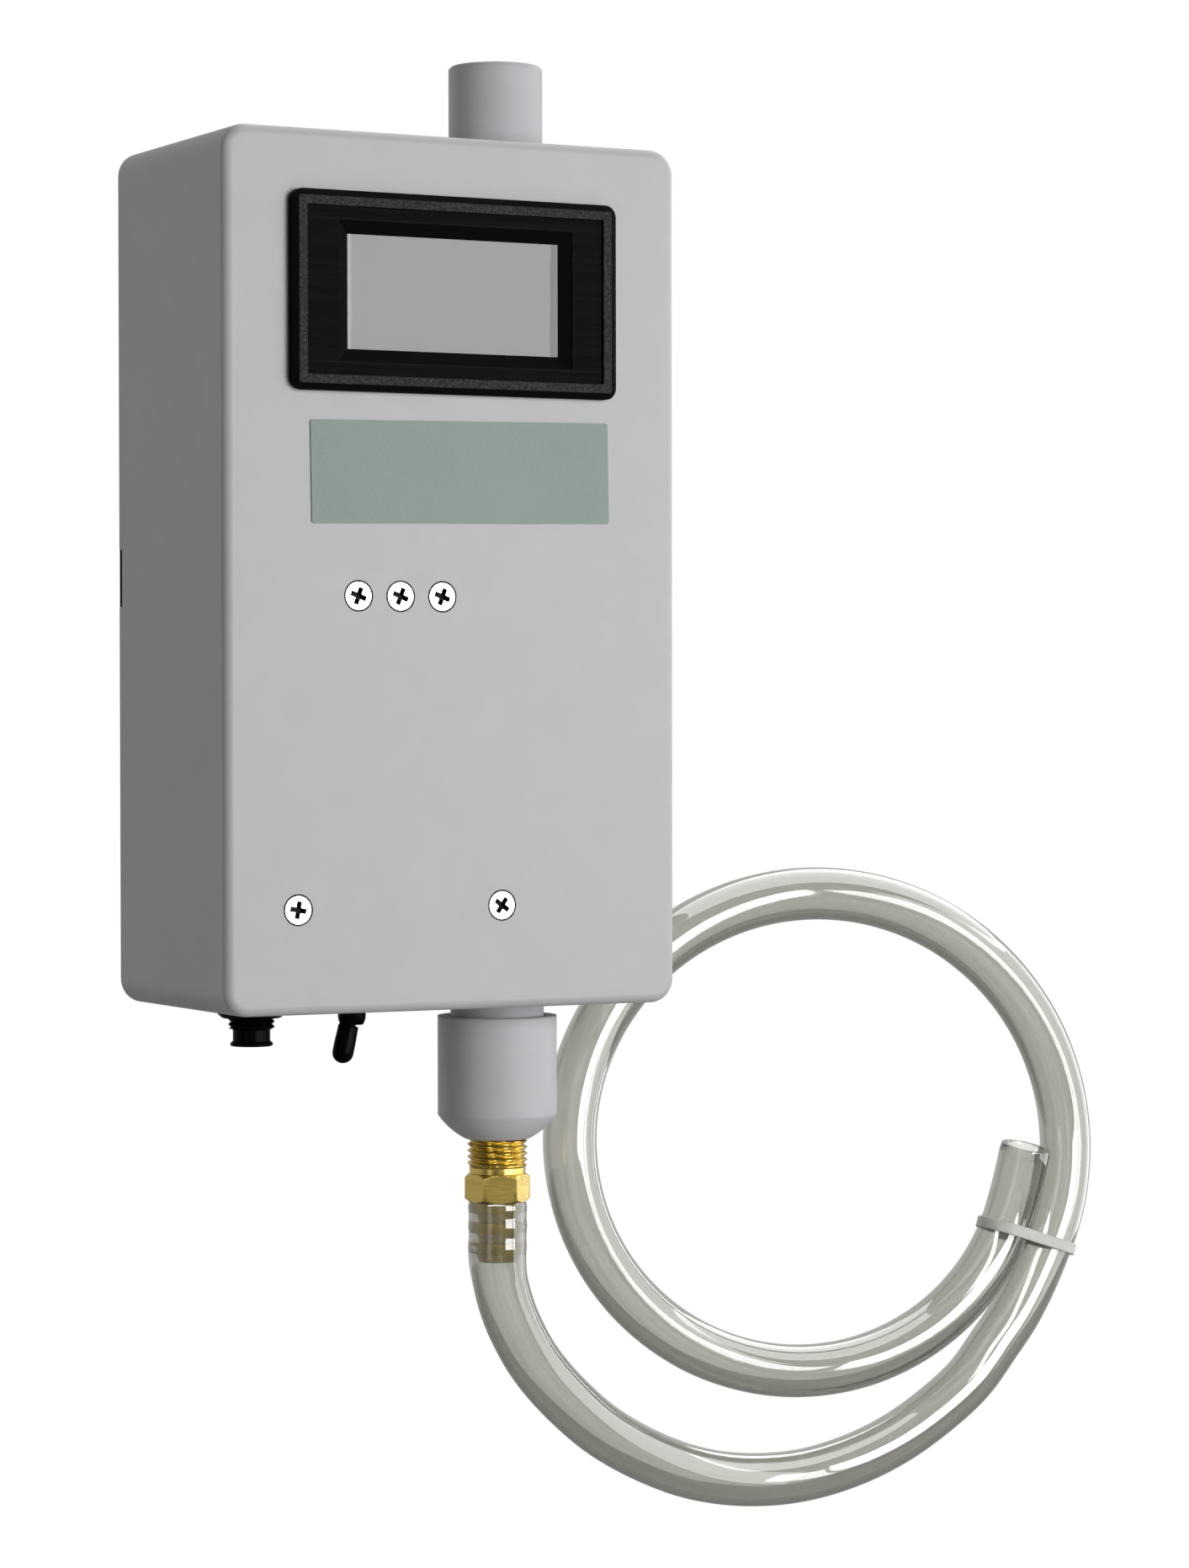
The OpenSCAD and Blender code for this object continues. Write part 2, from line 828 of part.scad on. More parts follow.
module sensor_body() {
    color([0.82, 0.82, 0.84])
    difference() {
        union() {
            translate([pipe_x, pipe_y, sensor_low])
                cylinder(d = sensor_d, h = sensor_l);
            translate([root_x, pipe_y, sensor_z])
                rotate([0, 90, 0])
                    cylinder(d = boss_root_d, h = pipe_x - root_x);
            translate([boss_end_x, pipe_y, sensor_z])
                rotate([0, 90, 0])
                    cylinder(d = side_boss_d, h = side_boss_l + cut);
        }
        translate([pipe_x, pipe_y, sensor_low - cut])
            cylinder(d = sensor_bore, h = sensor_l + 2 * cut);
        for (z = [sensor_low - cut, outlet_low])
            translate([pipe_x, pipe_y, z])
                cylinder(d = pipe_d + slip, h = socket_l + cut);
        translate([boss_end_x - cut, pipe_y, sensor_z])
            rotate([0, 90, 0])
                cylinder(d = probe_d + slip, h = pipe_x - boss_end_x + cut);
    }
}

module sensor_lock_nut() {
    color([0.7, 0.7, 0.72])
    translate([root_x - bracket_t - lock_t, pipe_y, sensor_z])
        rotate([0, 90, 0])
            difference() {
                hex_prism(lock_af, lock_t);
                translate([0, 0, -cut])
                    cylinder(d = side_boss_d + slip, h = lock_t + 2 * cut);
            }
}

module sensor_probe() {
    body_l = pipe_x - sensor_bore / 2 - probe_tip_gap - boss_end_x;
    color([0.2, 0.2, 0.22])
    translate([boss_end_x, pipe_y, sensor_z])
        rotate([0, 90, 0]) {
            difference() {
                union() {
                    translate([0, 0, -probe_head_t])
                        cylinder(d = probe_head_d, h = probe_head_t);
                    cylinder(d = probe_d, h = body_l);
                }
                translate([0, 0, groove_off])
                    difference() {
                        cylinder(d = probe_d + 2 * cut, h = groove_w);
                        translate([0, 0, -cut])
                            cylinder(d = probe_d - 2 * seal_d, h = groove_w + 2 * cut);
                    }
            }
            for (s = [-1, 1]) {
                reach = pipe_x - boss_end_x - (s + 1) * bead_gap / 2;
                translate([s * bead_gap / 2, 0, body_l - cut])
                    cylinder(d = stem_d, h = reach - body_l + cut);
                translate([s * bead_gap / 2, 0, reach])
                    sphere(d = bead_d);
            }
        }
}

module probe_seal() {
    color([0.05, 0.05, 0.05])
    translate([boss_end_x + groove_off + groove_w / 2, pipe_y, sensor_z])
        rotate([0, 90, 0])
            rotate_extrude()
                translate([probe_d / 2 - seal_d / 2 + slip / 4, 0])
                    circle(d = seal_d, $fn = 24);
}

module probe_board() {
    x = boss_end_x - probe_head_t - board_t;
    color([0.1, 0.35, 0.18]) {
        translate([x, pipe_y - probe_board_w / 2, sensor_z - probe_board_h / 2])
            cube([board_t, probe_board_w, probe_board_h]);
        translate([x - chip_t, pipe_y - chip_h / 2, sensor_z - chip_h / 2])
            cube([chip_t, chip_h, chip_h]);
    }
}

module flow_straightener() {
    low = inlet_top - straightener_l - bead_d;
    color([0.9, 0.9, 0.88])
    translate([pipe_x, pipe_y, low])
        difference() {
            cylinder(d = pipe_bore - slip, h = straightener_l);
            for (ring = [0 : 2])
                for (i = [0 : max(0, 6 * ring - 1)])
                    rotate([0, 0, ring == 0 ? 0 : i * 60 / ring])
                        translate([ring * straightener_pitch, 0, -cut])
                            cylinder(d = straightener_hole_d, h = straightener_l + 2 * cut, $fn = 16);
        }
}

// Length of pipe with a chamfered outer edge at one end
module pipe_length(low, high) {
    color([0.86, 0.86, 0.87])
    translate([pipe_x, pipe_y, 0])
        rotate_extrude()
            polygon([[pipe_bore / 2, low], [pipe_d / 2, low], [pipe_d / 2, high - tip_chamfer],
                [pipe_d / 2 - tip_chamfer, high], [pipe_bore / 2, high]]);
}

module outlet_pipe() {
    pipe_length(outlet_low, pipe_top);
}

module inlet_pipe() {
    pipe_length(inlet_low, inlet_top);
}

// Outer half section of the cap: straight wall, domed end and a flat
module cap_section() {
    intersection() {
        translate([0, cap_low])
            square([cap_d / 2, cap_l]);
        union() {
            translate([0, cap_low + dome_h])
                square([cap_d / 2, cap_l]);
            translate([0, cap_low + dome_h + dome_centre])
                circle(r = dome_r, $fn = 96);
        }
    }
}

module pipe_cap() {
    color([0.84, 0.85, 0.87])
    translate([pipe_x, pipe_y, 0])
        difference() {
            rotate_extrude()
                cap_section();
            translate([0, 0, socket_floor])
                cylinder(d = pipe_d + 2 * slip, h = cap_socket_l + cut);
            translate([0, 0, cap_top - cap_rim_r])
                cylinder(r1 = pipe_d / 2 + slip, r2 = pipe_d / 2 + slip + cap_rim_r,
                    h = cap_rim_r + slip);
            translate([0, 0, cap_low - cut])
                cylinder(d = thread_d + slip, h = socket_floor - cap_low + 2 * cut);
        }
}

// Half section of the fitting's turned part, from the top down to the last barb
function barb_points() = [
    for (i = [0 : barbs - 1])
        let (z = hex_low - barb_lead - i * (barb_l - barb_lead) / barbs)
            each [[stem_r, z], [barb_d / 2, z], [barb_d / 2, z - barb_land],
                [stem_r, z - (barb_l - barb_lead) / barbs]]];

module hose_barb() {
    thread_r = thread_d / 2;
    color([0.78, 0.6, 0.25])
    translate([pipe_x, pipe_y, 0])
        difference() {
            union() {
                rotate_extrude()
                    polygon(concat(
                        [[0, thread_top], [thread_r - thread_relief, thread_top],
                        [thread_r, thread_top - thread_relief], [thread_r, thread_low + thread_relief],
                        [thread_r - thread_relief, thread_low], [collar_d / 2, thread_low],
                        [collar_d / 2, collar_low], [stem_r, collar_low]],
                        barb_points(), [[0, barb_low]]));
                intersection() {
                    translate([0, 0, hex_low])
                        rotate([0, 0, hex_turn])
                            hex_prism(hex_af, hex_l);
                    translate([0, 0, hex_low])
                        rotate_extrude()
                            polygon([[0, 0], [hex_af / 2, 0],
                                [hex_af / 2 / cos(30), hex_bevel],
                                [hex_af / 2 / cos(30), hex_l - hex_bevel],
                                [hex_af / 2, hex_l], [0, hex_l]]);
                }
            }
            translate([0, 0, barb_low - cut])
                cylinder(d = barb_bore, h = thread_top - barb_low + 2 * cut);
        }
}

function unit(v) = v / norm(v);

// Centre line of the coil at an angle in degrees; past the tie it lifts towards the front
function coil_rise(a) = coil_lift * pow(max(0, a - lift_from) / (coil_to - lift_from), 2);
function coil_radius(a) =
    coil_r - coil_pitch * a / 360 - coil_skew * sin(2 * a) - tuck_share * coil_rise(a);
function coil_point(a) = [
    coil_x + coil_oval * coil_radius(a) * cos(a),
    coil_y - coil_rise(a),
    coil_z + coil_radius(a) * sin(a)];
function coil_tangent(a) = unit(coil_point(a + 0.5) - coil_point(a - 0.5));
coil_start = coil_point(coil_from) - hose_d * coil_tangent(coil_from);
coil_end = coil_point(coil_to) + hose_d * coil_tangent(coil_to);
coil_route = concat(
    [coil_start],
    [for (i = [0 : coil_steps]) coil_point(coil_from + i * (coil_to - coil_from) / coil_steps)],
    [coil_end]);
barb_route = [
    [pipe_x, pipe_y, hex_low],
    [pipe_x, pipe_y, (hex_low + barb_low) / 2]];
full_lead = concat(barb_route, lead_route, [coil_start]);

function tangents(p) = [
    for (i = [0 : len(p) - 1])
        i == 0 ? unit(p[1] - p[0])
        : i == len(p) - 1 ? unit(p[i] - p[i - 1])
        : unit(unit(p[i] - p[i - 1]) + unit(p[i + 1] - p[i]))];

// One ring of points round a centre, square to the tangent
function ring(c, t, r) =
    let (a = unit(cross(t, [0, 1, 0])), b = cross(a, t))
    [for (i = [0 : hose_sides - 1])
        c + r * cos(i * 360 / hose_sides) * a + r * sin(i * 360 / hose_sides) * b];

// Hollow tube through a list of centres, with an outer and an inner radius at each
module tube(p, t, outer, inner) {
    n = hose_sides;
    k = len(p);
    points = concat(
        [for (i = [0 : k - 1]) each ring(p[i], t[i], outer[i])],
        [for (i = [0 : k - 1]) each ring(p[i], t[i], inner[i])]);
    faces = concat(
        [for (i = [0 : k - 2]) for (j = [0 : n - 1])
            [i * n + j, i * n + (j + 1) % n, (i + 1) * n + (j + 1) % n, (i + 1) * n + j]],
        [for (i = [0 : k - 2]) for (j = [0 : n - 1])
            [(k + i) * n + (j + 1) % n, (k + i) * n + j, (k + i + 1) * n + j,
                (k + i + 1) * n + (j + 1) % n]],
        [for (j = [0 : n - 1]) [(j + 1) % n, j, k * n + j, k * n + (j + 1) % n]],
        [for (j = [0 : n - 1]) [(k - 1) * n + j, (k - 1) * n + (j + 1) % n,
            (2 * k - 1) * n + (j + 1) % n, (2 * k - 1) * n + j]]);
    polyhedron(points = points, faces = faces, convexity = 8);
}

module hose_lead() {
    t0 = tangents(full_lead);
    last = len(full_lead) - 1;
    t = [for (i = [0 : last]) i < 3 ? [0, 0, -1] : i == last ? coil_tangent(coil_from) : t0[i]];
    color([0.78, 0.8, 0.76, 0.6])
    tube(full_lead, t,
        [for (i = [0 : last]) i < 3 ? hose_r + swell_r : hose_r],
        [for (i = [0 : last]) i < 3 ? bore_r + swell_r + slip : bore_r]);
}

module hose_coil() {
    t0 = tangents(coil_route);
    last = len(coil_route) - 1;
    t = [for (i = [0 : last])
        i < 2 ? coil_tangent(coil_from) : i > last - 2 ? coil_tangent(coil_to) : t0[i]];
    color([0.78, 0.8, 0.76, 0.6])
    tube(coil_route, t,
        [for (i = [0 : last]) hose_r],
        [for (i = [0 : last]) bore_r]);
}

module cable_tie() {
    outer_pass = coil_point(tie_angle);
    inner_pass = coil_point(tie_angle + 360 - tie_lead);
    middle = (outer_pass + inner_pass) / 2;
    across = outer_pass - inner_pass;
    span = norm([across[0], across[2]]);
    inner_r = hose_r + tie_gap;
    color([0.85, 0.88, 0.82])
    translate([middle[0], coil_y, middle[2]])
        rotate([0, -atan2(across[2], across[0]), 0])
            difference() {
                union() {
                    translate([0, 0, -tie_w / 2])
                        linear_extrude(height = tie_w)
                            tie_outline(span, inner_r + tie_t);
                    translate([-tie_head_w / 2, inner_r, -tie_head_w / 2])
                        cube([tie_head_w, tie_head_t, tie_head_w]);
                }
                translate([0, 0, -tie_head_w])
                    linear_extrude(height = 2 * tie_head_w)
                        tie_outline(span, inner_r);
                translate([-tie_head_w, inner_r + tie_t, -tie_w / 2])
                    cube([2 * tie_head_w, tie_slot_t, tie_w]);
            }
}

module tie_outline(span, r) {
    for (s = [-1, 1])
        translate([s * span / 2, 0])
            circle(r = r);
    square([span, 2 * r], center = true);
}

module jack_body() {
    out_z = case_bottom - jack_out;
    lip_z = out_z + jack_lip_l;
    thread_z = case_bottom - jack_thread_out;
    color([0.05, 0.05, 0.05])
    translate([jack_x, pipe_y, 0])
        difference() {
            rotate_extrude()
                polygon([[0, out_z], [jack_lip_d / 2, out_z], [jack_lip_d / 2, lip_z - jack_lip_slope],
                    [jack_barrel_d / 2, lip_z], [jack_barrel_d / 2, thread_z],
                    [jack_thread_d / 2, thread_z], [jack_thread_d / 2, floor_z],
                    [jack_flange_d / 2, floor_z], [jack_flange_d / 2, floor_z + jack_flange_t],
                    [jack_core_d / 2, floor_z + jack_flange_t],
                    [jack_core_d / 2, floor_z + jack_core_l], [0, floor_z + jack_core_l]]);
            translate([0, 0, out_z - cut])
                cylinder(d = jack_bore, h = jack_socket_l + cut);
            translate([0, 0, out_z])
                cylinder(d = jack_pin_d + slip, h = jack_out + wall + jack_core_l + cut);
        }
}

module jack_nut() {
    color([0.05, 0.05, 0.05])
    translate([jack_x, pipe_y, 0])
        rotate_extrude()
            polygon([[jack_thread_d / 2 + slip / 2, case_bottom],
                [jack_nut_d / 2, case_bottom],
                [jack_nut_d / 2 - jack_nut_bevel, case_bottom - jack_nut_t],
                [jack_thread_d / 2 + slip / 2, case_bottom - jack_nut_t]]);
}

module jack_pin() {
    low = case_bottom - jack_out + jack_pin_back;
    color([0.8, 0.8, 0.78])
    translate([jack_x, pipe_y, low]) {
        cylinder(d = jack_pin_d, h = floor_z + jack_core_l - low);
    }
}

module jack_terminals() {
    color([0.8, 0.8, 0.78])
    for (a = [0 : 120 : 240])
        translate([jack_x, pipe_y, floor_z + jack_core_l])
            rotate([0, 0, a])
                translate([lug_r - lug_t / 2, -lug_w / 2, 0])
                    difference() {
                        cube([lug_t, lug_w, lug_l]);
                        translate([-cut, lug_w / 2, lug_l - lug_w / 2])
                            rotate([0, 90, 0])
                                cylinder(d = lug_w / 2, h = lug_t + 2 * cut, $fn = 16);
                    }
}

module switch_body() {
    color([0.7, 0.15, 0.12])
    translate([switch_x - switch_w / 2, pipe_y - switch_depth / 2, floor_z])
        cube([switch_w, switch_depth, switch_body_l]);
}

module switch_bushing() {
    color([0.75, 0.75, 0.75])
    translate([switch_x, pipe_y, 0])
        difference() {
            translate([0, 0, case_bottom - bushing_out])
                cylinder(d = bushing_d, h = bushing_out + wall);
            translate([0, 0, case_bottom - bushing_out - cut])
                cylinder(d = bushing_bore, h = bushing_out + wall / 2 + cut);
            translate([0, -bushing_d, pivot_z])
                rotate([-90, 0, 0])
                    cylinder(d = pin_d + slip, h = 2 * bushing_d);
        }
}

module switch_nut() {
    bore = bushing_d / 2 + slip / 2;
    color([0.05, 0.05, 0.05])
    translate([switch_x, pipe_y, 0])
        rotate_extrude()
            polygon([[bore, case_bottom], [switch_nut_d / 2, case_bottom],
                [switch_nut_d / 2, case_bottom - switch_nut_l + nut_bevel],
                [switch_nut_d / 2 - nut_bevel / 2, case_bottom - switch_nut_l],
                [bore, case_bottom - switch_nut_l]]);
}

// Lever with a ball at its pivot, a neck and a round-ended bat
module switch_lever() {
    bat_top = pivot_drop - switch_nut_l - bat_gap;
    bat_r = bat_d / 2;
    color([0.05, 0.05, 0.05])
    translate([switch_x, pipe_y, pivot_z])
        rotate([0, lever_tilt, 0])
            difference() {
                union() {
                    sphere(d = ball_d);
                    translate([0, 0, bat_top])
                        cylinder(d = neck_d, h = -bat_top);
                    translate([0, 0, bat_top - bat_l + bat_r])
                        cylinder(d = bat_d, h = bat_l - bat_r);
                    translate([0, 0, bat_top - bat_l + bat_r])
                        sphere(d = bat_d);
                }
                translate([0, -ball_d, 0])
                    rotate([-90, 0, 0])
                        cylinder(d = pin_d + 2 * slip, h = 2 * ball_d);
            }
}

module switch_pin() {
    color([0.8, 0.8, 0.8])
    translate([switch_x, pipe_y - bushing_d / 2 + slip, pivot_z])
        rotate([-90, 0, 0])
            cylinder(d = pin_d, h = bushing_d - 2 * slip);
}

module switch_terminals() {
    color([0.8, 0.8, 0.78])
    for (i = [-1 : 1])
        translate([switch_x + i * switch_lug_pitch - switch_lug_t / 2,
            pipe_y - switch_lug_w / 2, floor_z + switch_body_l])
            cube([switch_lug_t, switch_lug_w, switch_lug_l]);
}

module board_screws() {
    color([0.8, 0.8, 0.8])
    at_pair()
        rotate([-90, 0, 0])
            flat_screw(head_d / 2, shank_d / 2, head_t, screw_l - rear_screw_l / 2);
}

module board_spacers() {
    color([0.75, 0.68, 0.4])
    at_pair()
        translate([0, wall, 0])
            rotate([-90, 0, 0])
                difference() {
                    hex_prism(spacer_d, spacer_l);
                    translate([0, 0, -cut])
                        cylinder(d = shank_d + slip, h = spacer_l + 2 * cut);
                }
}

module board_rear_screws() {
    color([0.75, 0.75, 0.75])
    at_pair()
        translate([0, wall + spacer_l + board_t, 0])
            rotate([-90, 0, 0]) {
                translate([0, 0, -rear_screw_l])
                    cylinder(d = shank_d, h = rear_screw_l + cut);
                cylinder(d = rear_head_d, h = rear_head_t);
            }
}

module main_board() {
    color([0.1, 0.35, 0.18])
    difference() {
        block(board_w, board_h, board_back, board_front, screws_x, board_zc);
        at_pair()
            rotate([-90, 0, 0])
                cylinder(d = shank_d + 2 * hole_slack, h = case_d);
    }
}

// Box-shaped part that stands on the back of the main board, at shares of the board's size
module on_board(w, h, l, shares, lift = 0) {
    block(w, h, board_back + l, board_back + lift, screws_x + shares[0] * board_w,
        board_zc + shares[1] * board_h);
}

module board_parts() {
    for (p = can_place_shares)
        color([0.12, 0.14, 0.3])
        rod(can_d / 2, can_l, screws_x + p[0] * board_w, board_back, board_zc + p[1] * board_h);
    for (p = chip_place_shares)
        color([0.08, 0.08, 0.08])
        on_board(chip_w, chip_h, chip_t, p);
    color([0.08, 0.08, 0.08])
    on_board(regulator_w, regulator_h, regulator_l, regulator_place_shares);
    color([0.75, 0.7, 0.3])
    on_board(relay_w, relay_h, relay_l, relay_place_shares);
}

module board_connector() {
    floor_t = plug_l * plug_floor_share;
    color([0.9, 0.9, 0.86])
    difference() {
        on_board(plug_w, plug_h, plug_l, plug_place_shares);
        on_board(plug_w - floor_t, plug_h - floor_t, plug_l + cut, plug_place_shares, floor_t);
    }
}

// Length of the hose and its least gap to itself, measured on points of its centre line
function path_length(p) = len(p) < 2 ? 0 : [for (i = [0 : len(p) - 2]) norm(p[i + 1] - p[i])]
    * [for (i = [0 : len(p) - 2]) 1];
first_arc = 60;
last_arc = 120;
fine_coil = concat([for (a = [coil_from : 1 : coil_to]) coil_point(a)], [coil_end]);
first_pass = concat(full_lead, [for (a = [coil_from : 1 : coil_from + first_arc]) coil_point(a)]);
last_pass = concat([for (a = [coil_to - last_arc : 1 : coil_to]) coil_point(a)],
    [for (i = [1 : 4]) coil_point(coil_to) + i / 4 * hose_d * coil_tangent(coil_to)]);
least_gap = min([for (p = first_pass) min([for (q = last_pass) norm(p - q)])]) - hose_d;
echo(hose_length = path_length(full_lead) + hose_d + path_length(fine_coil));
echo(least_gap_of_hose_to_itself = least_gap);

front_case();
rear_lid();
lid_screws();
meter_bezel();
meter_fascia();
meter_display();
display_strips();
meter_housing();
meter_board();
meter_terminals();
meter_clips();
front_label();
bracket_screws();
bracket_nuts();
sensor_bracket();
sensor_body();
sensor_lock_nut();
sensor_probe();
probe_seal();
probe_board();
flow_straightener();
outlet_pipe();
inlet_pipe();
pipe_cap();
hose_barb();
hose_lead();
hose_coil();
cable_tie();
jack_body();
jack_nut();
jack_pin();
jack_terminals();
switch_body();
switch_bushing();
switch_nut();
switch_lever();
switch_pin();
switch_terminals();
board_screws();
board_spacers();
board_rear_screws();
main_board();
board_parts();
board_connector();
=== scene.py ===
"""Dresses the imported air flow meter: finishes, hose, fitting, screws, light and camera."""
import json
import math

import bmesh
import bpy
from mathutils import Matrix, Vector


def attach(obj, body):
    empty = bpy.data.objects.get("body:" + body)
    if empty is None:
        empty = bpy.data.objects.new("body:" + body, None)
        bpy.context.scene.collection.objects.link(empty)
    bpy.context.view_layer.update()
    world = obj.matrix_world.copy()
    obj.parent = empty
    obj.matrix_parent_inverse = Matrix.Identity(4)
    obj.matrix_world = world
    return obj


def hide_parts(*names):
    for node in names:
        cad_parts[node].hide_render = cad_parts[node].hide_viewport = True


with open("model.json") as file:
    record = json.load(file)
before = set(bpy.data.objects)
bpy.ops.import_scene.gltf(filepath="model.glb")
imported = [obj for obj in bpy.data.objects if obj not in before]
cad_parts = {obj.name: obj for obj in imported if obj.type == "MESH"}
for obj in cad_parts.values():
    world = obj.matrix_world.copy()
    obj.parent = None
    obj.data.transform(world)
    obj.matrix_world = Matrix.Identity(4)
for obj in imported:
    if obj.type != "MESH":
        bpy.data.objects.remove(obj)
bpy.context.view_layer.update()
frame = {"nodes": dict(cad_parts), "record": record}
NODES = frame["nodes"]
SCENE = bpy.context.scene
MM = 0.001

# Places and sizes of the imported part, in millimetres
CASE_BOTTOM = -95.75
WALL = 3.0
FLOOR_INSIDE = CASE_BOTTOM + WALL
FRONT_Y = -60.0
METER_X, METER_Z = -0.5, 60.75
BEZEL_W, BEZEL_H = 78.8, 43.2
VIEW_W = 50.8
PIPE_X, PIPE_Y = 25.0, -30.0

# Camera, fitted to the case's edges in the photograph; its place is in metres
PHOTO_W = 1413
PHOTO_H = 1863
FOCAL_PX = 5269.1
CAMERA_AT = (-0.4295, -0.934, -0.03005)
YAW = math.radians(27.956)
PITCH = math.radians(0.946)
ROLL = math.radians(-0.095)
SENSOR = 36.0


def aim_camera():
    """The photograph's camera, level but for a slight pitch and roll."""
    data = bpy.data.cameras.new("photo_camera")
    data.sensor_width = SENSOR
    data.lens = FOCAL_PX / max(PHOTO_W, PHOTO_H) * SENSOR
    camera = bpy.data.objects.new("photo_camera", data)
    SCENE.collection.objects.link(camera)
    forward = Vector((math.sin(YAW) * math.cos(PITCH), math.cos(YAW) * math.cos(PITCH),
                      -math.sin(PITCH)))
    right = Vector((math.cos(YAW), -math.sin(YAW), 0))
    up = right.cross(forward)
    rolled_right = right * math.cos(ROLL) + up * math.sin(ROLL)
    rolled_up = up * math.cos(ROLL) - right * math.sin(ROLL)
    turn = Matrix((rolled_right, rolled_up, -forward)).transposed().to_4x4()
    camera.matrix_world = Matrix.Translation(CAMERA_AT) @ turn
    SCENE.camera = camera


# Nodes of a material or of the world
def new_node(owner, kind, values=(), inputs=()):
    """Node with some values on its sockets and some sockets linked."""
    node = owner.node_tree.nodes.new("ShaderNode" + kind)
    for name, value in dict(values).items():
        node.inputs[name].default_value = value
    for name, source in dict(inputs).items():
        owner.node_tree.links.new(source, node.inputs[name])
    return node


def arithmetic(owner, kind, first, second):
    """Math node; a plain number stays on its socket, anything else is linked."""
    node = owner.node_tree.nodes.new("ShaderNodeMath")
    node.operation = kind
    for socket, value in zip(node.inputs, (first, second)):
        if isinstance(value, float):
            socket.default_value = value
        else:
            owner.node_tree.links.new(value, socket)
    return node.outputs[0]


def remap(owner, value, low, high, to_low, to_high, curve="LINEAR"):
    """Value carried from one range to another, held at both ends."""
    node = new_node(owner, "MapRange", {"From Min": low, "From Max": high, "To Min": to_low,
                                        "To Max": to_high}, {"Value": value})
    node.interpolation_type = curve
    return node.outputs["Result"]


def along(owner, direction, way):
    """How far a direction goes along a fixed way."""
    node = new_node(owner, "VectorMath", {1: way}, {0: direction})
    node.operation = "DOT_PRODUCT"
    return node.outputs["Value"]


# Light: a soft box from the right of the front, four panels beside and above it that only
# gloss shows, and a world that is bright behind. Each box or panel is its azimuth, height,
# width, length and power, in radians, metres and watts.
LIGHT_DISTANCE = 1.5
KEY_LIGHT = (math.radians(20), math.radians(3), 0.75, 0.8, 15.4)
STREAK_PANEL = (math.radians(41), math.radians(-1), 0.3, 0.6, 3.5)
BROAD_PANEL = (math.radians(74), math.radians(0), 1.9, 1.15, 16.0)
TOP_PANEL = (math.radians(95), math.radians(55), 2.2, 2.2, 42.0)
FRONT_PANEL = (math.radians(-30), math.radians(26), 2.0, 0.26, 11.5)

# World: its levels in front and behind for gloss and for plain light, which blend over the
# middle, and its levels through the hose, high along one slanted way and low across it
FILL_FRONT, FILL_BACK = 0.03, 0.58
SHINE_FRONT, SHINE_BACK = 0.15, 0.6
MIDDLE_BLEND = 0.35
CLEAR_WAY = (0.5, 0.86, 0.1)
CLEAR_LOW, CLEAR_HIGH = 0.45, 1.0
CLEAR_BLEND = (0.72, 0.96)
# Upright pale strips in front for gloss and through the hose: azimuth, half width, level
STRIPS = [(math.radians(-58), math.radians(9), 0.85), (math.radians(-14), math.radians(10), 0.3)]
# A strip fades in from the first share of its half width to the second
STRIP_FADE_SHARES = (1.2, 0.6)


def light_box(name, azimuth, height, width, length, watts, on_all=True):
    """A soft box, turned to the middle of the case."""
    data = bpy.data.lights.new(name, "AREA")
    data.shape = "RECTANGLE"
    data.size, data.size_y = width, length
    data.energy = watts
    box = bpy.data.objects.new(name, data)
    SCENE.collection.objects.link(box)
    way = Vector((math.sin(azimuth) * math.cos(height), -math.cos(azimuth) * math.cos(height),
                  math.sin(height)))
    box.location = way * LIGHT_DISTANCE
    box.rotation_euler = way.to_track_quat("Z", "Y").to_euler()
    box.visible_camera = False
    box.visible_transmission = False
    box.visible_diffuse = on_all


def make_world():
    """White to the camera, and brighter behind the object than in front for all other rays."""
    world = bpy.data.worlds.new("studio")
    SCENE.world = world
    world.use_nodes = True
    way = new_node(world, "TexCoord").outputs["Generated"]
    back = new_node(world, "SeparateXYZ", (), {"Vector": way}).outputs["Y"]
    flat = new_node(world, "VectorMath", {1: (1, 1, 0)}, {0: way})
    flat.operation = "MULTIPLY"
    level_way = new_node(world, "VectorMath", (), {0: flat.outputs["Vector"]})
    level_way.operation = "NORMALIZE"
    path = new_node(world, "LightPath")
    camera = path.outputs["Is Camera Ray"]
    clear = path.outputs["Is Transmission Ray"]
    shiny = path.outputs["Is Glossy Ray"]
    glossy = arithmetic(world, "MAXIMUM", shiny, clear)
    plain = arithmetic(world, "SUBTRACT", 1.0, arithmetic(world, "MAXIMUM", camera, glossy))
    lean = arithmetic(world, "ABSOLUTE", along(world, way, Vector(CLEAR_WAY).normalized()), 0.0)

    def blend(value, start, stop, low, high):
        return remap(world, value, start, stop, low, high, "SMOOTHSTEP")

    shares = [(shiny, blend(back, -MIDDLE_BLEND, MIDDLE_BLEND, SHINE_FRONT, SHINE_BACK)),
              (clear, blend(lean, *CLEAR_BLEND, CLEAR_LOW, CLEAR_HIGH)),
              (plain, blend(back, -MIDDLE_BLEND, MIDDLE_BLEND, FILL_FRONT, FILL_BACK))]
    for azimuth, half, level in STRIPS:
        near = along(world, level_way.outputs["Vector"], (math.sin(azimuth), -math.cos(azimuth), 0))
        start, stop = (math.cos(half * share) for share in STRIP_FADE_SHARES)
        shares.append((glossy, blend(near, start, stop, 0.0, level)))
    strength = camera
    for share, level in shares:
        strength = arithmetic(world, "ADD", strength, arithmetic(world, "MULTIPLY", share, level))
    background = world.node_tree.nodes["Background"]
    world.node_tree.links.new(strength, background.inputs["Strength"])
    background.inputs["Color"].default_value = (1, 1, 1, 1)


# Meshes, built in millimetres
WELD = 0.0005
SHARP = math.radians(32)


def add_object(name, mesh, body="meter"):
    """Object that rides on a body, or on none."""
    piece = bpy.data.objects.new(name, mesh)
    SCENE.collection.objects.link(piece)
    if body:
        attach(piece, body)
    return piece


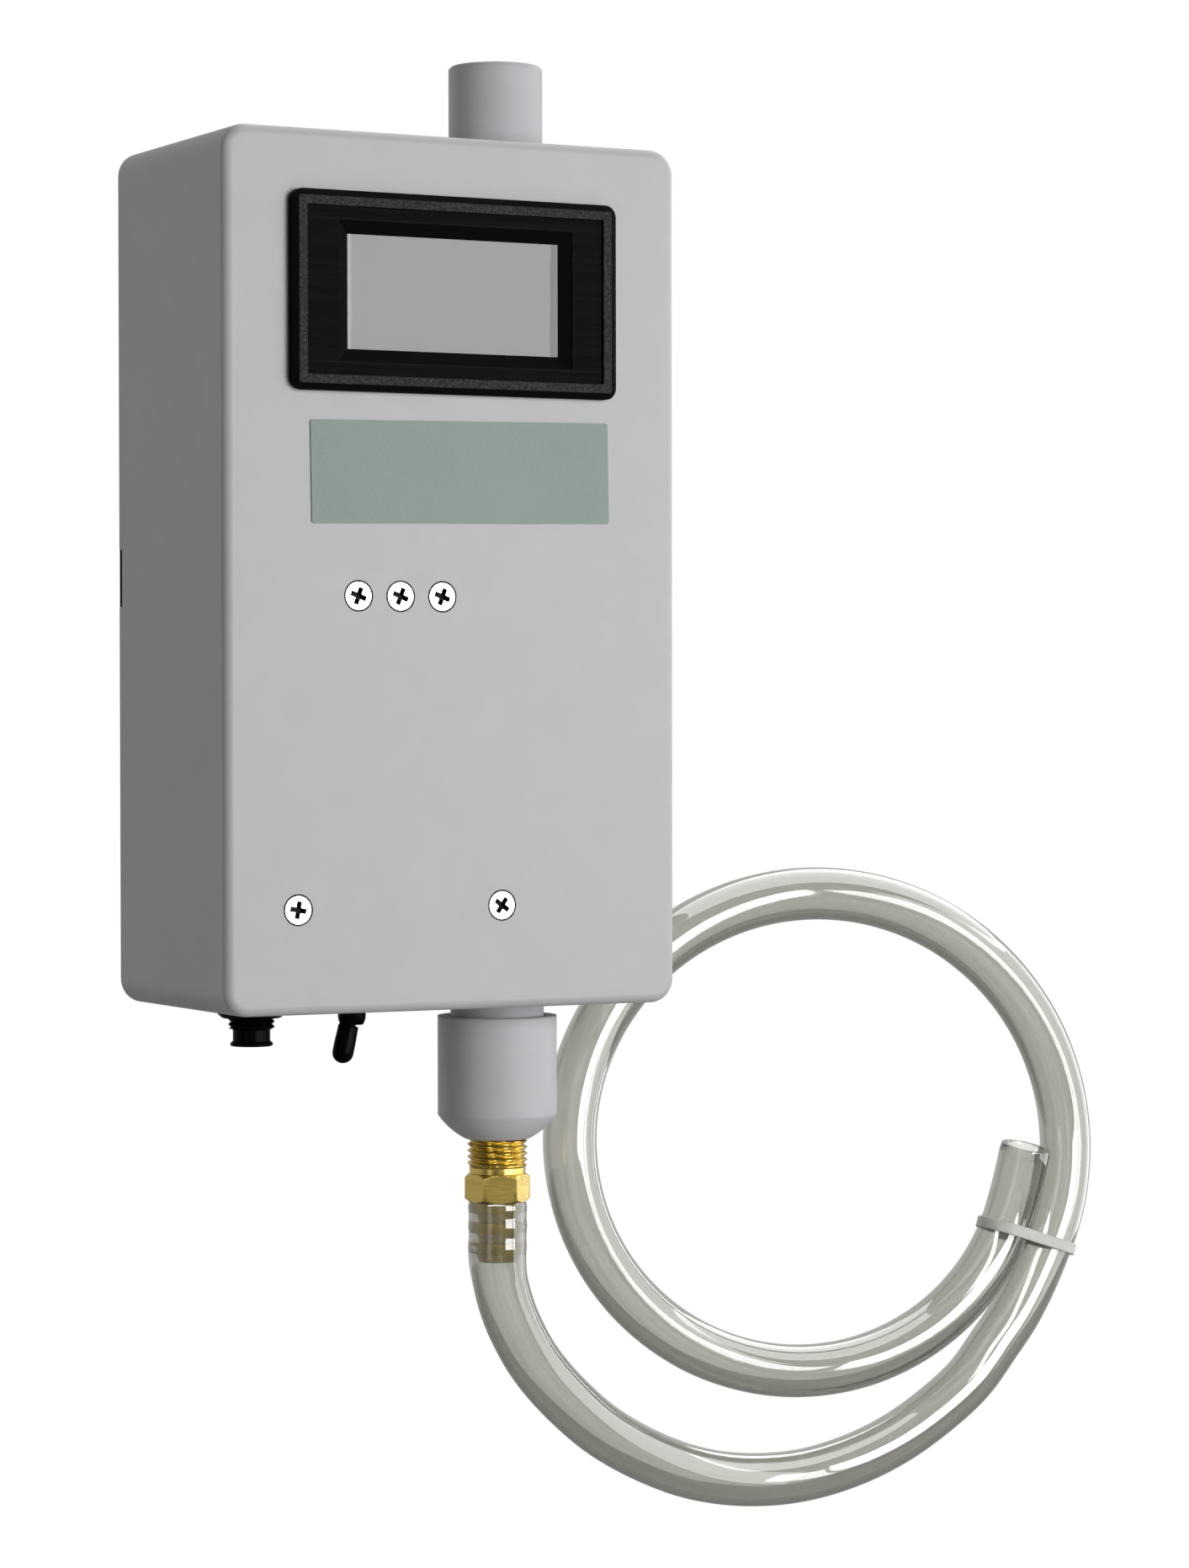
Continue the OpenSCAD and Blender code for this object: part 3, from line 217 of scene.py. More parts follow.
def to_mesh(name, work, sharp=SHARP):
    """Mesh from a bmesh in millimetres: smooth faces with sharp edges past an angle."""
    bmesh.ops.remove_doubles(work, verts=work.verts, dist=WELD)
    bmesh.ops.recalc_face_normals(work, faces=work.faces)
    for face in work.faces:
        face.smooth = True
    for edge in work.edges:
        edge.smooth = len(edge.link_faces) == 2 and edge.calc_face_angle(0.0) < sharp
    bmesh.ops.scale(work, verts=work.verts, vec=(MM, MM, MM))
    mesh = bpy.data.meshes.new(name)
    work.to_mesh(mesh)
    work.free()
    return mesh


def join_rings(work, rings):
    """Faces from each ring of vertices to the next, and from the last ring to the first."""
    for ring, following in zip(rings, rings[1:] + rings[:1]):
        for i in range(len(ring)):
            j = (i + 1) % len(ring)
            work.faces.new((ring[i], ring[j], following[j], following[i]))


def revolve(work, profile, segments, turn=0.0, shape=None):
    """Closed section of (radius, height) turned round Z; shape may change the radius."""
    rings = []
    for radius, height in profile:
        ring = []
        for i in range(segments):
            angle = turn + i * math.tau / segments
            r = shape(radius, height, angle) if shape else radius
            ring.append(work.verts.new((r * math.cos(angle), r * math.sin(angle), height)))
        rings.append(ring)
    join_rings(work, rings)


def steps(low, high, count):
    """Evenly spaced values from low to high, both included."""
    return [low + (high - low) * i / count for i in range(count + 1)]


# How sharp a thread is: its ridges and grooves are cut off flat
RIDGE_GAIN, RIDGE_CUT = 1.25, 0.12


def thread(radius, pitch, depth, top, bottom, lead):
    """Helical thread on the rings of one radius, fading out over its lead at both ends."""
    def shape(ring_radius, height, angle):
        if ring_radius != radius or not bottom < height < top:
            return ring_radius
        phase = (height / pitch + angle / math.tau) % 1
        ridge = abs(2 * phase - 1)
        ridge = min(1.0, max(0.0, RIDGE_GAIN * ridge - RIDGE_CUT))
        fade = min(1.0, (top - height) / lead, (height - bottom) / lead)
        return radius - depth * fade * (1 - ridge)
    return shape


# Materials: sizes of features and depths of relief are in metres
NOISE_LOW, NOISE_HIGH = 0.3, 0.7


def material(name, colour, rough, metal=0.0, more=None):
    """Principled material with these constants on the shader's own sockets."""
    made = bpy.data.materials.new(name)
    made.use_nodes = True
    sockets = made.node_tree.nodes["Principled BSDF"].inputs
    sockets["Base Color"].default_value = (*colour, 1)
    sockets["Roughness"].default_value = rough
    sockets["Metallic"].default_value = metal
    for socket, value in (more or {}).items():
        sockets[socket].default_value = value
    return made


def socket_of(mat, name):
    return mat.node_tree.nodes["Principled BSDF"].inputs[name]


def drive(mat, name, value):
    mat.node_tree.links.new(value, socket_of(mat, name))


def place_of(mat, stretch=(1, 1, 1), source="Object"):
    """Texture place, in metres for Object, scaled along the axes."""
    origin = new_node(mat, "TexCoord").outputs[source]
    return new_node(mat, "Mapping", {"Scale": stretch}, {"Vector": origin}).outputs["Vector"]


def axes_of(mat):
    """The texture place's X, Y and Z, in metres."""
    return new_node(mat, "SeparateXYZ", (), {"Vector": place_of(mat)}).outputs


def noise(mat, size, stretch=(1, 1, 1), detail=3.0, source="Object"):
    """Noise with features of about this size."""
    node = new_node(mat, "TexNoise", {"Scale": 1 / size, "Detail": detail},
                    {"Vector": place_of(mat, stretch, source)})
    return node.outputs["Fac"]


def away_from(mat, value, middle):
    """Distance of a value from a middle, to either side."""
    return arithmetic(mat, "ABSOLUTE", arithmetic(mat, "SUBTRACT", value, middle), 0.0)


def tones(mat, factor, stops):
    """Base colour from a ramp of (place, colour) stops."""
    node = new_node(mat, "ValToRGB", (), {"Fac": factor})
    ramp = node.color_ramp
    while len(ramp.elements) < len(stops):
        ramp.elements.new(0.5)
    for element, (at, colour) in zip(ramp.elements, stops):
        element.position = at
        element.color = (*colour, 1)
    drive(mat, "Base Color", node.outputs["Color"])


def mottle(mat, factor, dark, light):
    """Base colour that goes from dark to light with a noise."""
    tones(mat, factor, [(NOISE_LOW, dark), (NOISE_HIGH, light)])


def uneven(mat, factor, low, high):
    """Roughness that goes from low to high with a noise."""
    drive(mat, "Roughness", remap(mat, factor, NOISE_LOW, NOISE_HIGH, low, high))


def relief(mat, height, depth, soft_edge=0.0):
    """Bump of this depth, over edges that are rounded by soft_edge."""
    node = new_node(mat, "Bump", {"Distance": depth, "Strength": 1.0}, {"Height": height})
    if soft_edge:
        bevel = new_node(mat, "Bevel", {"Radius": soft_edge})
        mat.node_tree.links.new(bevel.outputs["Normal"], node.inputs["Normal"])
    drive(mat, "Normal", node.outputs["Normal"])


def shade(colour, factor):
    """Colour made darker or lighter by a factor."""
    return tuple(min(1.0, c * factor) for c in colour)


CLOUD_SIZE, SHEEN_SIZE, SHEEN_SPREAD = 0.012, 0.004, 0.02


def moulded(name, colour, rough, grain=0.0004, depth=0.00001, spread=0.04, soft_edge=0.0, **more):
    """Moulded plastic: slight clouds in its colour, uneven sheen and a fine grain."""
    mat = material(name, colour, rough, more=more)
    clouds = noise(mat, CLOUD_SIZE, detail=4.0)
    mottle(mat, clouds, shade(colour, 1 - spread), shade(colour, 1 + spread))
    uneven(mat, noise(mat, SHEEN_SIZE), rough - SHEEN_SPREAD, rough + SHEEN_SPREAD)
    relief(mat, noise(mat, grain, detail=2.0), depth, soft_edge)
    return mat


TARNISH_SIZE, MARK_DEPTH, MARK_SMOOTHER, MARK_ROUGHER = 0.003, 0.000004, 0.06, 0.08


def metal(name, colour, rough, stretch=(1, 1, 1), grain=0.0005, spread=0.08):
    """Bare or plated metal; its fine tool marks run along an axis whose stretch is small."""
    mat = material(name, colour, rough, 1.0)
    marks = noise(mat, grain, stretch, 4.0)
    mottle(mat, noise(mat, TARNISH_SIZE, stretch), shade(colour, 1 - spread), colour)
    uneven(mat, marks, rough - MARK_SMOOTHER, rough + MARK_ROUGHER)
    relief(mat, marks, MARK_DEPTH)
    return mat


CASE_GREY = (0.50, 0.50, 0.515)
PIPE_GREY = (0.585, 0.585, 0.612)
LABEL_GREEN = (0.235, 0.315, 0.275)
LCD_GREY = (0.475, 0.475, 0.47)
DEEP_BLACK = (0.0015, 0.0015, 0.0018)


def label_material():
    """Matte tape: fine fibre over faint clouds."""
    mat = material("label_tape", LABEL_GREEN, 0.6)
    clouds = arithmetic(mat, "MULTIPLY", noise(mat, 0.02), 0.8)
    fibre = arithmetic(mat, "ADD", noise(mat, 0.0009, (1, 1, 2.5), 4.0), clouds)
    tones(mat, fibre, [(0.6, shade(LABEL_GREEN, 0.95)), (1.0, shade(LABEL_GREEN, 1.04))])
    relief(mat, noise(mat, 0.0006, detail=4.0), 0.00001)
    return mat


# Where the bezel's speckled rim, made paler as painted sheen, starts and stops, inwards from the
# bezel's edge, and the depths between which it fades from the face to the slopes
RIM_START, RIM_STOP = (1.35 * MM, 1.5 * MM), (3.3 * MM, 3.45 * MM)
RIM_FACE = (-62.5 * MM, -62.3 * MM)


def bezel_material():
    """Black plastic: a speckled rim in front made paler as painted sheen, near black on its bevel,
    slopes and sides.
    """
    black, pale, sheen_speck = (0.0025, 0.0025, 0.003), (0.030, 0.027, 0.030), (0.075, 0.068, 0.075)
    mat = material("bezel_abs", black, 0.5, more={"Specular IOR Level": 0.02})
    place = axes_of(mat)
    insets = []
    for axis, middle, width in (("X", METER_X, BEZEL_W), ("Z", METER_Z, BEZEL_H)):
        away = away_from(mat, place[axis], middle * MM)
        insets.append(arithmetic(mat, "SUBTRACT", width / 2 * MM, away))
    inset = arithmetic(mat, "MINIMUM", *insets)
    started = remap(mat, inset, *RIM_START, 0.0, 1.0)
    going_on = remap(mat, inset, *RIM_STOP, 1.0, 0.0)
    face = remap(mat, place["Y"], *RIM_FACE, 1.0, 0.0)
    rim = arithmetic(mat, "MULTIPLY", face, arithmetic(mat, "MULTIPLY", started, going_on))
    grain = remap(mat, noise(mat, 0.0004, detail=2.0), 0.42, 0.68, 0.5, 1.0)
    # Painted sheen: the front rim goes from black to the paler tones, grained by a noise
    tones(mat, arithmetic(mat, "MULTIPLY", rim, grain), [(0.0, black), (0.5, pale), (1.0, sheen_speck)])
    relief(mat, noise(mat, 0.0004, detail=2.0), 0.00001, soft_edge=0.0002)
    return mat


# Printed lines of the film, above and below its middle, and how they fade out in width
LINE_OFF = 15.5 * MM
LINE_FADE = (0.0001, 0.00025)


def film_material():
    """Dark film with fine level brush lines and a thin printed frame line above and below."""
    dark, light = (0.002, 0.002, 0.0023), (0.009, 0.0092, 0.010)
    mat = material("bezel_film", dark, 0.45, more={"Specular IOR Level": 0.012})
    lines = noise(mat, 0.0009, (0.02, 1, 1), 5.0)
    away = away_from(mat, axes_of(mat)["Z"], METER_Z * MM)
    frame_line = remap(mat, away_from(mat, away, LINE_OFF), *LINE_FADE, 0.45, 0.0)
    tones(mat, arithmetic(mat, "ADD", lines, frame_line), [(0.35, dark), (0.75, light)])
    uneven(mat, lines, 0.38, 0.52)
    relief(mat, lines, 0.000004)
    return mat


def display_material():
    """Unlit reflective display: plain grey, a bright line at the left painted as a highlight, a
    dark band at the right painted as shade.
    """
    mat = material("display_glass", LCD_GREY, 0.55, more={"Specular IOR Level": 0.05})
    # Painted highlight: a thin bright line along the left edge. Painted shade: a dark band along
    # the right edge.
    bright, dark, shade_band_end = (0.62, 0.63, 0.60), (0.33, 0.33, 0.33), (0.36, 0.36, 0.37)
    left, right = METER_X - VIEW_W / 2, METER_X + VIEW_W / 2
    across = remap(mat, axes_of(mat)["X"], left * MM, right * MM, 0.0, 1.0)
    clouds = arithmetic(mat, "MULTIPLY", noise(mat, 0.008, detail=5.0), 0.02)
    tones(mat, arithmetic(mat, "ADD", across, arithmetic(mat, "SUBTRACT", clouds, 0.01)), [
        (0.0, bright), (0.008, bright), (0.014, LCD_GREY),
        (0.965, shade(LCD_GREY, 0.98)), (0.972, dark), (1.0, shade_band_end)])
    relief(mat, noise(mat, 0.0005), 0.000002)
    return mat


# Colour and density of the vinyl's depth
VINYL_DEPTH, VINYL_DENSITY = (0.70, 0.70, 0.664, 1), 1050.0


def hose_material():
    """Clear vinyl that darkens with its depth, slightly green, with faint drawing lines."""
    tint = (0.94, 0.94, 0.935)
    mat = material("clear_vinyl", tint, 0.03, more={
        "Transmission Weight": 0.97, "IOR": 1.5, "Coat Weight": 1.0, "Coat IOR": 1.6,
        "Coat Roughness": 0.04})
    depth = new_node(mat, "VolumeAbsorption", {"Color": VINYL_DEPTH, "Density": VINYL_DENSITY})
    output = mat.node_tree.nodes["Material Output"]
    mat.node_tree.links.new(depth.outputs["Volume"], output.inputs["Volume"])
    lines = noise(mat, 1.0, (30, 6, 1), 3.0, "UV")
    mottle(mat, lines, shade(tint, 0.95), shade(tint, 1.05))
    uneven(mat, lines, 0.01, 0.05)
    relief(mat, noise(mat, 1.0, (16, 5, 1), 1.0, "UV"), 0.00001)
    return mat


def tie_material():
    """Milky nylon."""
    tint = (0.90, 0.95, 0.82)
    mat = material("milky_nylon", tint, 0.4, more={
        "Subsurface Weight": 0.75, "Subsurface Scale": 0.003, "Subsurface Radius": (1, 1, 1),
        "Specular IOR Level": 0.2})
    mottle(mat, noise(mat, 0.002), shade(tint, 0.92), tint)
    relief(mat, noise(mat, 0.0007), 0.00001)
    return mat


def board_material(name, colour):
    """Circuit board: solder mask with faint tracks."""
    mat = material(name, colour, 0.35)
    tracks = new_node(mat, "TexBrick", {"Scale": 180.0, "Mortar Size": 0.03,
                                        "Color1": (0, 0, 0, 1), "Color2": (0.2, 0.2, 0.2, 1),
                                        "Mortar": (1, 1, 1, 1)},
                      {"Vector": place_of(mat)}).outputs["Fac"]
    tones(mat, tracks, [(0.2, colour), (0.9, shade(colour, 1.5))])
    relief(mat, tracks, 0.00002)
    return mat


def make_materials():
    """Every material by its slot in the record, and the dark one painted as shade inside recesses.
    """
    fine = {"grain": 0.0005, "depth": 0.000012, "spread": 0.02, "soft_edge": 0.0002}
    dull = {"depth": 0.000008, "spread": 0.1, "Specular IOR Level": 0.03}
    return {
        "case_grey": moulded("case_abs", CASE_GREY, 0.5, **fine),
        "lid_grey": moulded("lid_abs", shade(CASE_GREY, 0.94), 0.5, **fine),
        "bezel_black": bezel_material(),
        "fascia_dark": film_material(),
        "display_grey": display_material(),
        "strip_rubber": moulded("strip_rubber", (0.07, 0.07, 0.08), 0.8),
        "housing_black": moulded("housing_abs", (0.02, 0.02, 0.022), 0.5),
        "board_green": board_material("board_mask", (0.02, 0.11, 0.035)),
        "terminal_green": moulded("terminal_nylon", (0.03, 0.16, 0.06), 0.45),
        "label_green": label_material(),
        # A dark metal painted as shade in the screws' recesses, the seams round their heads and the
        # pry notch
        "recess": metal("recess_shade", (0.02, 0.018, 0.016), 0.6),
        "nickel": metal("bright_nickel", (0.80, 0.79, 0.77), 0.22),
        "zinc_steel": metal("zinc_plate", (0.55, 0.56, 0.57), 0.35),
        "spacer_brass": metal("spacer_brass", (0.65, 0.50, 0.22), 0.3, (1, 0.05, 1)),
        "sensor_plastic": moulded("sensor_nylon", (0.62, 0.62, 0.64), 0.5),
        "probe_dark": moulded("probe_plastic", (0.04, 0.04, 0.045), 0.4),
        "seal_rubber": moulded("seal_rubber", (0.015, 0.015, 0.015), 0.75),
        "screen_white": moulded("screen_plastic", (0.75, 0.75, 0.72), 0.5),
        "pipe_grey": moulded("pipe_vinyl", PIPE_GREY, 0.42, 0.0012, 0.00001, 0.03, 0.0012,
                             **{"Specular IOR Level": 0.13}),
        "fitting_brass": metal("turned_brass", (0.61, 0.455, 0.12), 0.24, (0.1, 0.1, 1),
                               grain=0.0003, spread=0.2),
        "hose_clear": hose_material(),
        "tie_natural": tie_material(),
        "jack_black": moulded("jack_plastic", DEEP_BLACK, 0.3, grain=0.0006, **dull),
        "contact_metal": metal("tin_plate", (0.7, 0.7, 0.68), 0.3),
        "switch_red": moulded("switch_plastic", (0.40, 0.025, 0.02), 0.35),
        "lever_black": moulded("lever_plastic", DEEP_BLACK, 0.25, grain=0.0008, **dull),
        "parts_dark": moulded("parts_plastic", (0.02, 0.02, 0.025), 0.4),
        "connector_white": moulded("connector_nylon", (0.72, 0.72, 0.67), 0.45),
    }


def dress_nodes(materials):
    """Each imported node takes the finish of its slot."""
    for part in frame["record"]["subparts"]:
        node = NODES[part["node"]]
        node.data.materials.clear()
        node.data.materials.append(materials[part["material_slot"]])


def stand_for(piece, slot, materials, *nodes):
    """The piece takes a slot's finish and stands for these nodes."""
    piece.data.materials.append(materials[slot])
    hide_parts(*nodes)


# Hose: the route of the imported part, in millimetres
HOSE_R = 6.35
BORE_R = 4.75
HOSE_SIDES = 32
HOSE_EDGE = 0.25
HOSE_SHARP = math.radians(50)
BARB_POINTS = [(25, -30, -142), (25, -30, -148.8)]
LEAD_POINTS = [
    (25, -30, -156), (26.5, -29.6, -163), (30, -28.5, -171), (36.5, -26.5, -180.5),
    (46, -24, -190), (58, -20.5, -199), (72, -17, -206.5), (86.5, -14, -212),
    (101.5, -11.5, -215), (116.5, -10.3, -215.5), (130.5, -10, -213.3), (143.5, -10, -209),
    (155.3, -10, -202.8), (165.5, -10, -195.6), (173, -10, -187.3)]
COIL_X, COIL_Y, COIL_Z = 120.7, -10.0, -135.3
COIL_R, COIL_PITCH, COIL_OVAL, COIL_SKEW = 63.9, 12.0, 1.147, 1.15
COIL_FROM, COIL_TO, LIFT_FROM = -30.0, 343.0, 334.0
COIL_LIFT, TUCK_SHARE = 0.77, 0.5
COIL_STEPS, ROUTE_PARTS = 30, 6


def coil_point(angle):
    """Centre line of the coil at an angle in degrees; past the tie it lifts to the front."""
    rise = COIL_LIFT * (max(0.0, angle - LIFT_FROM) / (COIL_TO - LIFT_FROM)) ** 2
    turn = math.radians(angle)
    radius = COIL_R - COIL_PITCH * angle / 360 - COIL_SKEW * math.sin(2 * turn) - TUCK_SHARE * rise
    return Vector((COIL_X + COIL_OVAL * radius * math.cos(turn), COIL_Y - rise,
                   COIL_Z + radius * math.sin(turn)))


def coil_tangent(angle):
    """Direction of the coil at an angle, taken over one degree."""
    return (coil_point(angle + 0.5) - coil_point(angle - 0.5)).normalized()


def spline(points, parts):
    """Catmull-Rom curve through the points, with this many parts between two of them."""
    made = []
    for i in range(len(points) - 1):
        a, b, c, d = (points[max(0, min(len(points) - 1, i + k))] for k in (-1, 0, 1, 2))
        for k in range(parts):
            t = k / parts
            made.append(0.5 * (2 * b + (c - a) * t + (2 * a - 5 * b + 4 * c - d) * t * t
                               + (3 * b - a - 3 * c + d) * t ** 3))
    return made + [points[-1]]


def hose_route():
    """Centre line from the fitting to the open end, in millimetres."""
    start = coil_point(COIL_FROM) - 2 * HOSE_R * coil_tangent(COIL_FROM)
    end = coil_point(COIL_TO) + 2 * HOSE_R * coil_tangent(COIL_TO)
    lead = [Vector(p) for p in BARB_POINTS + LEAD_POINTS] + [start]
    coil = [coil_point(angle) for angle in steps(COIL_FROM, COIL_TO, COIL_STEPS)]
    return spline(lead + coil + [end], ROUTE_PARTS)


# Barbs of the fitting by top, land and low end, and how far they stretch the hose
BARBS = [(-142.4, -144.2, -146.3), (-146.6, -148.6, -151.0), (-151.3, -153.6, -155.6)]
BARB_LOW = -155.6
SWELL, SWELL_END = 0.28, -160.0
BARB_SWELL, BARB_REACH = 0.14, 1.2
BORE_SWELL_SHARE = 0.7


def hose_swell(height):
    """How much the hose is stretched over the barbs, at a height in millimetres."""
    if height < SWELL_END:
        return 0.0
    swell = SWELL if height > BARB_LOW else SWELL * (height - SWELL_END) / (BARB_LOW - SWELL_END)
    for top, land, _ in BARBS:
        swell += BARB_SWELL * math.exp(-((height - (top + land) / 2) / BARB_REACH) ** 2)
    return swell


def hose_rings(work, route):
    """Rings of vertices across the route: those of the hose's outside and of its bore."""
    last = len(route) - 1
    down = Vector((0, 0, -1))
    side = Vector((1, 0, 0))
    outside, bore = [], []
    for i, centre in enumerate(route):
        ahead = down if i < 2 else (route[min(last, i + 1)] - route[i - 1]).normalized()
        side = (side - ahead * side.dot(ahead)).normalized()
        other = ahead.cross(side)
        swell = hose_swell(centre[2]) if i < last / 3 else 0.0
        edge = HOSE_EDGE if i in (0, last) else 0.0
        for rings, radius in ((outside, HOSE_R + swell - edge),
                              (bore, BORE_R + swell * BORE_SWELL_SHARE + edge)):
            rings.append([work.verts.new(
                centre + radius * (math.cos(k * math.tau / HOSE_SIDES) * side
                                   + math.sin(k * math.tau / HOSE_SIDES) * other))
                for k in range(HOSE_SIDES)])
    return outside, bore


def skin_between(work, uv, first, second, start, stop):
    """Faces between two rings, with a UV of turn and of length in metres."""
    for k in range(HOSE_SIDES):
        j = (k + 1) % HOSE_SIDES
        face = work.faces.new((first[k], first[j], second[j], second[k]))
        corners = ((k, start), (k + 1, start), (k + 1, stop), (k, stop))
        for loop, (turn, at) in zip(face.loops, corners):
            loop[uv].uv = (turn / HOSE_SIDES, at * MM)


def make_hose(materials):
    """One hollow tube along the route, and the route in metres."""
    route = hose_route()
    last = len(route) - 1
    work = bmesh.new()
    uv = work.loops.layers.uv.new("UVMap")
    lengths = [0.0]
    for a, b in zip(route, route[1:]):
        lengths.append(lengths[-1] + (b - a).length)
    outside, bore = hose_rings(work, route)
    for rings in (outside, bore):
        for i in range(last):
            skin_between(work, uv, rings[i], rings[i + 1], lengths[i], lengths[i + 1])
    for i in (0, last):
        skin_between(work, uv, outside[i], bore[i], lengths[i], lengths[i] + HOSE_R - BORE_R)
    made = add_object("clear_hose", to_mesh("clear_hose", work, HOSE_SHARP))
    stand_for(made, "hose_clear", materials, "hose_lead", "hose_coil")
    return made, [point * MM for point in route]


# Cable tie: band, teeth inside it and head behind, in millimetres
TIE_ANGLE, TIE_LEAD = -25.0, 1.0
TIE_W, TIE_T, TIE_GAP, TIE_BEVEL = 2.8, 0.7, 0.03, 0.2
TIE_RINGS, TOOTH_EVERY, TOOTH_CUT, TOOTH_W_SHARE = 132, 3, 0.15, 0.6
TIE_HEAD, HEAD_BEVEL = (4.8, 3.1, 4.8), 0.5


def band_section(tooth):
    """Outline of the band: how far out from its inside, and how far along the hose."""
    half = TIE_W / 2
    return [(tooth, -half * TOOTH_W_SHARE), (0, -half + TIE_BEVEL), (TIE_BEVEL, -half),
            (TIE_T - TIE_BEVEL, -half), (TIE_T, -half + TIE_BEVEL), (TIE_T, half - TIE_BEVEL),
            (TIE_T - TIE_BEVEL, half), (TIE_BEVEL, half), (0, half - TIE_BEVEL),
            (tooth, half * TOOTH_W_SHARE)]


def band_place(share, span, radius):
    """Middle of the strand's curve and the way out, at a share of the way round both strands."""
    arc = math.pi * radius
    leg, way = divmod(share * 2 * (arc + span), arc + span)
    flip = 1 if leg == 0 else -1
    if way < arc:
        angle = way / radius - math.pi / 2
        return flip * span / 2, flip * math.cos(angle), flip * math.sin(angle)
    return flip * (span / 2 - (way - arc)), 0.0, flip * 1.0


def make_tie(materials):
    """Band round both strands with a toothed inside, and its head behind."""
    outer, inner = coil_point(TIE_ANGLE), coil_point(TIE_ANGLE + 360 - TIE_LEAD)
    middle, across = (outer + inner) / 2, outer - inner
    middle.y = COIL_Y
    span = Vector((across.x, across.z)).length
    lean = math.atan2(across.z, across.x)
    radius = HOSE_R + TIE_GAP
    work = bmesh.new()
    rings = []
    for i in range(TIE_RINGS):
        centre, out_x, out_y = band_place(i / TIE_RINGS, span, radius)
        tooth = TOOTH_CUT if i % TOOTH_EVERY == 0 else 0.0
        rings.append([work.verts.new((centre + out_x * (radius + out), out_y * (radius + out), up))
                      for out, up in band_section(tooth)])
    join_rings(work, rings)
    head = bmesh.ops.create_cube(work, size=1.0)["verts"]
    bmesh.ops.scale(work, verts=head, vec=TIE_HEAD)
    bmesh.ops.translate(work, verts=head, vec=(0, radius + TIE_HEAD[1] / 2, 0))
    edges = {edge for vert in head for edge in vert.link_edges}
    bmesh.ops.bevel(work, geom=list(edges), offset=HEAD_BEVEL, segments=3, affect="EDGES",
                    profile=0.5)
    bmesh.ops.rotate(work, verts=work.verts, cent=(0, 0, 0), matrix=Matrix.Rotation(-lean, 3, "Y"))
    bmesh.ops.translate(work, verts=work.verts, vec=middle)
    made = add_object("nylon_tie", to_mesh("nylon_tie", work))
    stand_for(made, "tie_natural", materials, "cable_tie")
    return made


# Brass fitting, in millimetres round the pipe's axis
THREAD_R, THREAD_TOP, THREAD_LOW = 6.85, -119.45, -133.95
THREAD_PITCH, THREAD_DEPTH, THREAD_FADE = 1.41, 0.8, 0.5
THREAD_RELIEF, THREAD_END, THREAD_STEPS = 0.7, 0.3, 104
COLLAR_R, COLLAR_LOW = 6.4, -135.6
COLLAR_EDGE, COLLAR_FALL, COLLAR_STEP, COLLAR_LAP = 0.15, 0.2, 0.02, 0.1
HEX_FLAT, HEX_LOW, HEX_TURN = 6.5, -142.0, math.radians(39.5)
HEX_BEVEL, HEX_SLOPE, HEX_START, HEX_STEPS = 0.8, 1.25, 0.02, 8
BARB_R, BARB_EDGE, FITTING_BORE = 5.1, 0.05, 3.2
STEM_R, STEM_EDGE = 4.3, 0.15
HAIR = 0.01
FITTING_SIDES = 96
FITTING_SHARP = math.radians(28)


def fitting_profile():
    """Section of the fitting as radius and height, from the thread's top down and back."""
    thread_stretch = steps(THREAD_TOP - THREAD_RELIEF, THREAD_LOW + THREAD_END, THREAD_STEPS)
    profile = [(THREAD_R - THREAD_RELIEF, THREAD_TOP)]
    profile += [(THREAD_R, z) for z in thread_stretch]
    profile += [(THREAD_R - THREAD_RELIEF / 2, THREAD_LOW),
                (COLLAR_R - COLLAR_EDGE, THREAD_LOW - COLLAR_STEP),
                (COLLAR_R, THREAD_LOW - COLLAR_FALL), (COLLAR_R, COLLAR_LOW + COLLAR_EDGE),
                (COLLAR_R - COLLAR_LAP, COLLAR_LOW)]
    bevels = [HEX_BEVEL * k / HEX_STEPS for k in range(HEX_STEPS + 1)]
    profile += [(HEX_FLAT, COLLAR_LOW - HAIR - bevel) for bevel in bevels]
    profile += [(HEX_FLAT, HEX_LOW + bevel) for bevel in reversed(bevels)]
    profile.append((STEM_R, HEX_LOW))
    for top, land, low in BARBS:
        profile += [(STEM_R, top), (BARB_R - BARB_EDGE, top), (BARB_R, top - BARB_EDGE),
                    (BARB_R, land), (STEM_R, low)]
    profile += [(STEM_R - STEM_EDGE, BARB_LOW - HAIR), (FITTING_BORE, BARB_LOW),
                (FITTING_BORE, THREAD_TOP)]
    return profile


def make_fitting(materials):
    """Turned fitting: helical pipe thread, collar, chamfered hexagon and three barbs."""
    spiral = thread(THREAD_R, THREAD_PITCH, THREAD_DEPTH, THREAD_TOP, THREAD_LOW, THREAD_FADE)

    def shape(radius, height, angle):
        if radius != HEX_FLAT or not HEX_LOW <= height < COLLAR_LOW:
            return spiral(radius, height, angle)
        sector = (angle - HEX_TURN) % (math.pi / 3) - math.pi / 6
        inset = min(COLLAR_LOW - height, height - HEX_LOW)
        return min(HEX_FLAT / math.cos(sector), HEX_FLAT + inset * HEX_SLOPE + HEX_START)

    work = bmesh.new()
    revolve(work, fitting_profile(), FITTING_SIDES, HEX_TURN, shape)
    bmesh.ops.translate(work, verts=work.verts, vec=(PIPE_X, PIPE_Y, 0))
    fitting = add_object("brass_fitting", to_mesh("brass_fitting", work, FITTING_SHARP))
    stand_for(fitting, "fitting_brass", materials, "hose_barb")


# Countersunk screws: head and shank radius in front and in the lid, then the three lengths
HEAD_R, SHANK_R = 3.35, 1.75
LID_HEAD_R, LID_SHANK_R = 2.8, 1.45
ROW_SCREW_L, PAIR_SCREW_L, LID_SCREW_L = 9.5, 7.0, 13.0
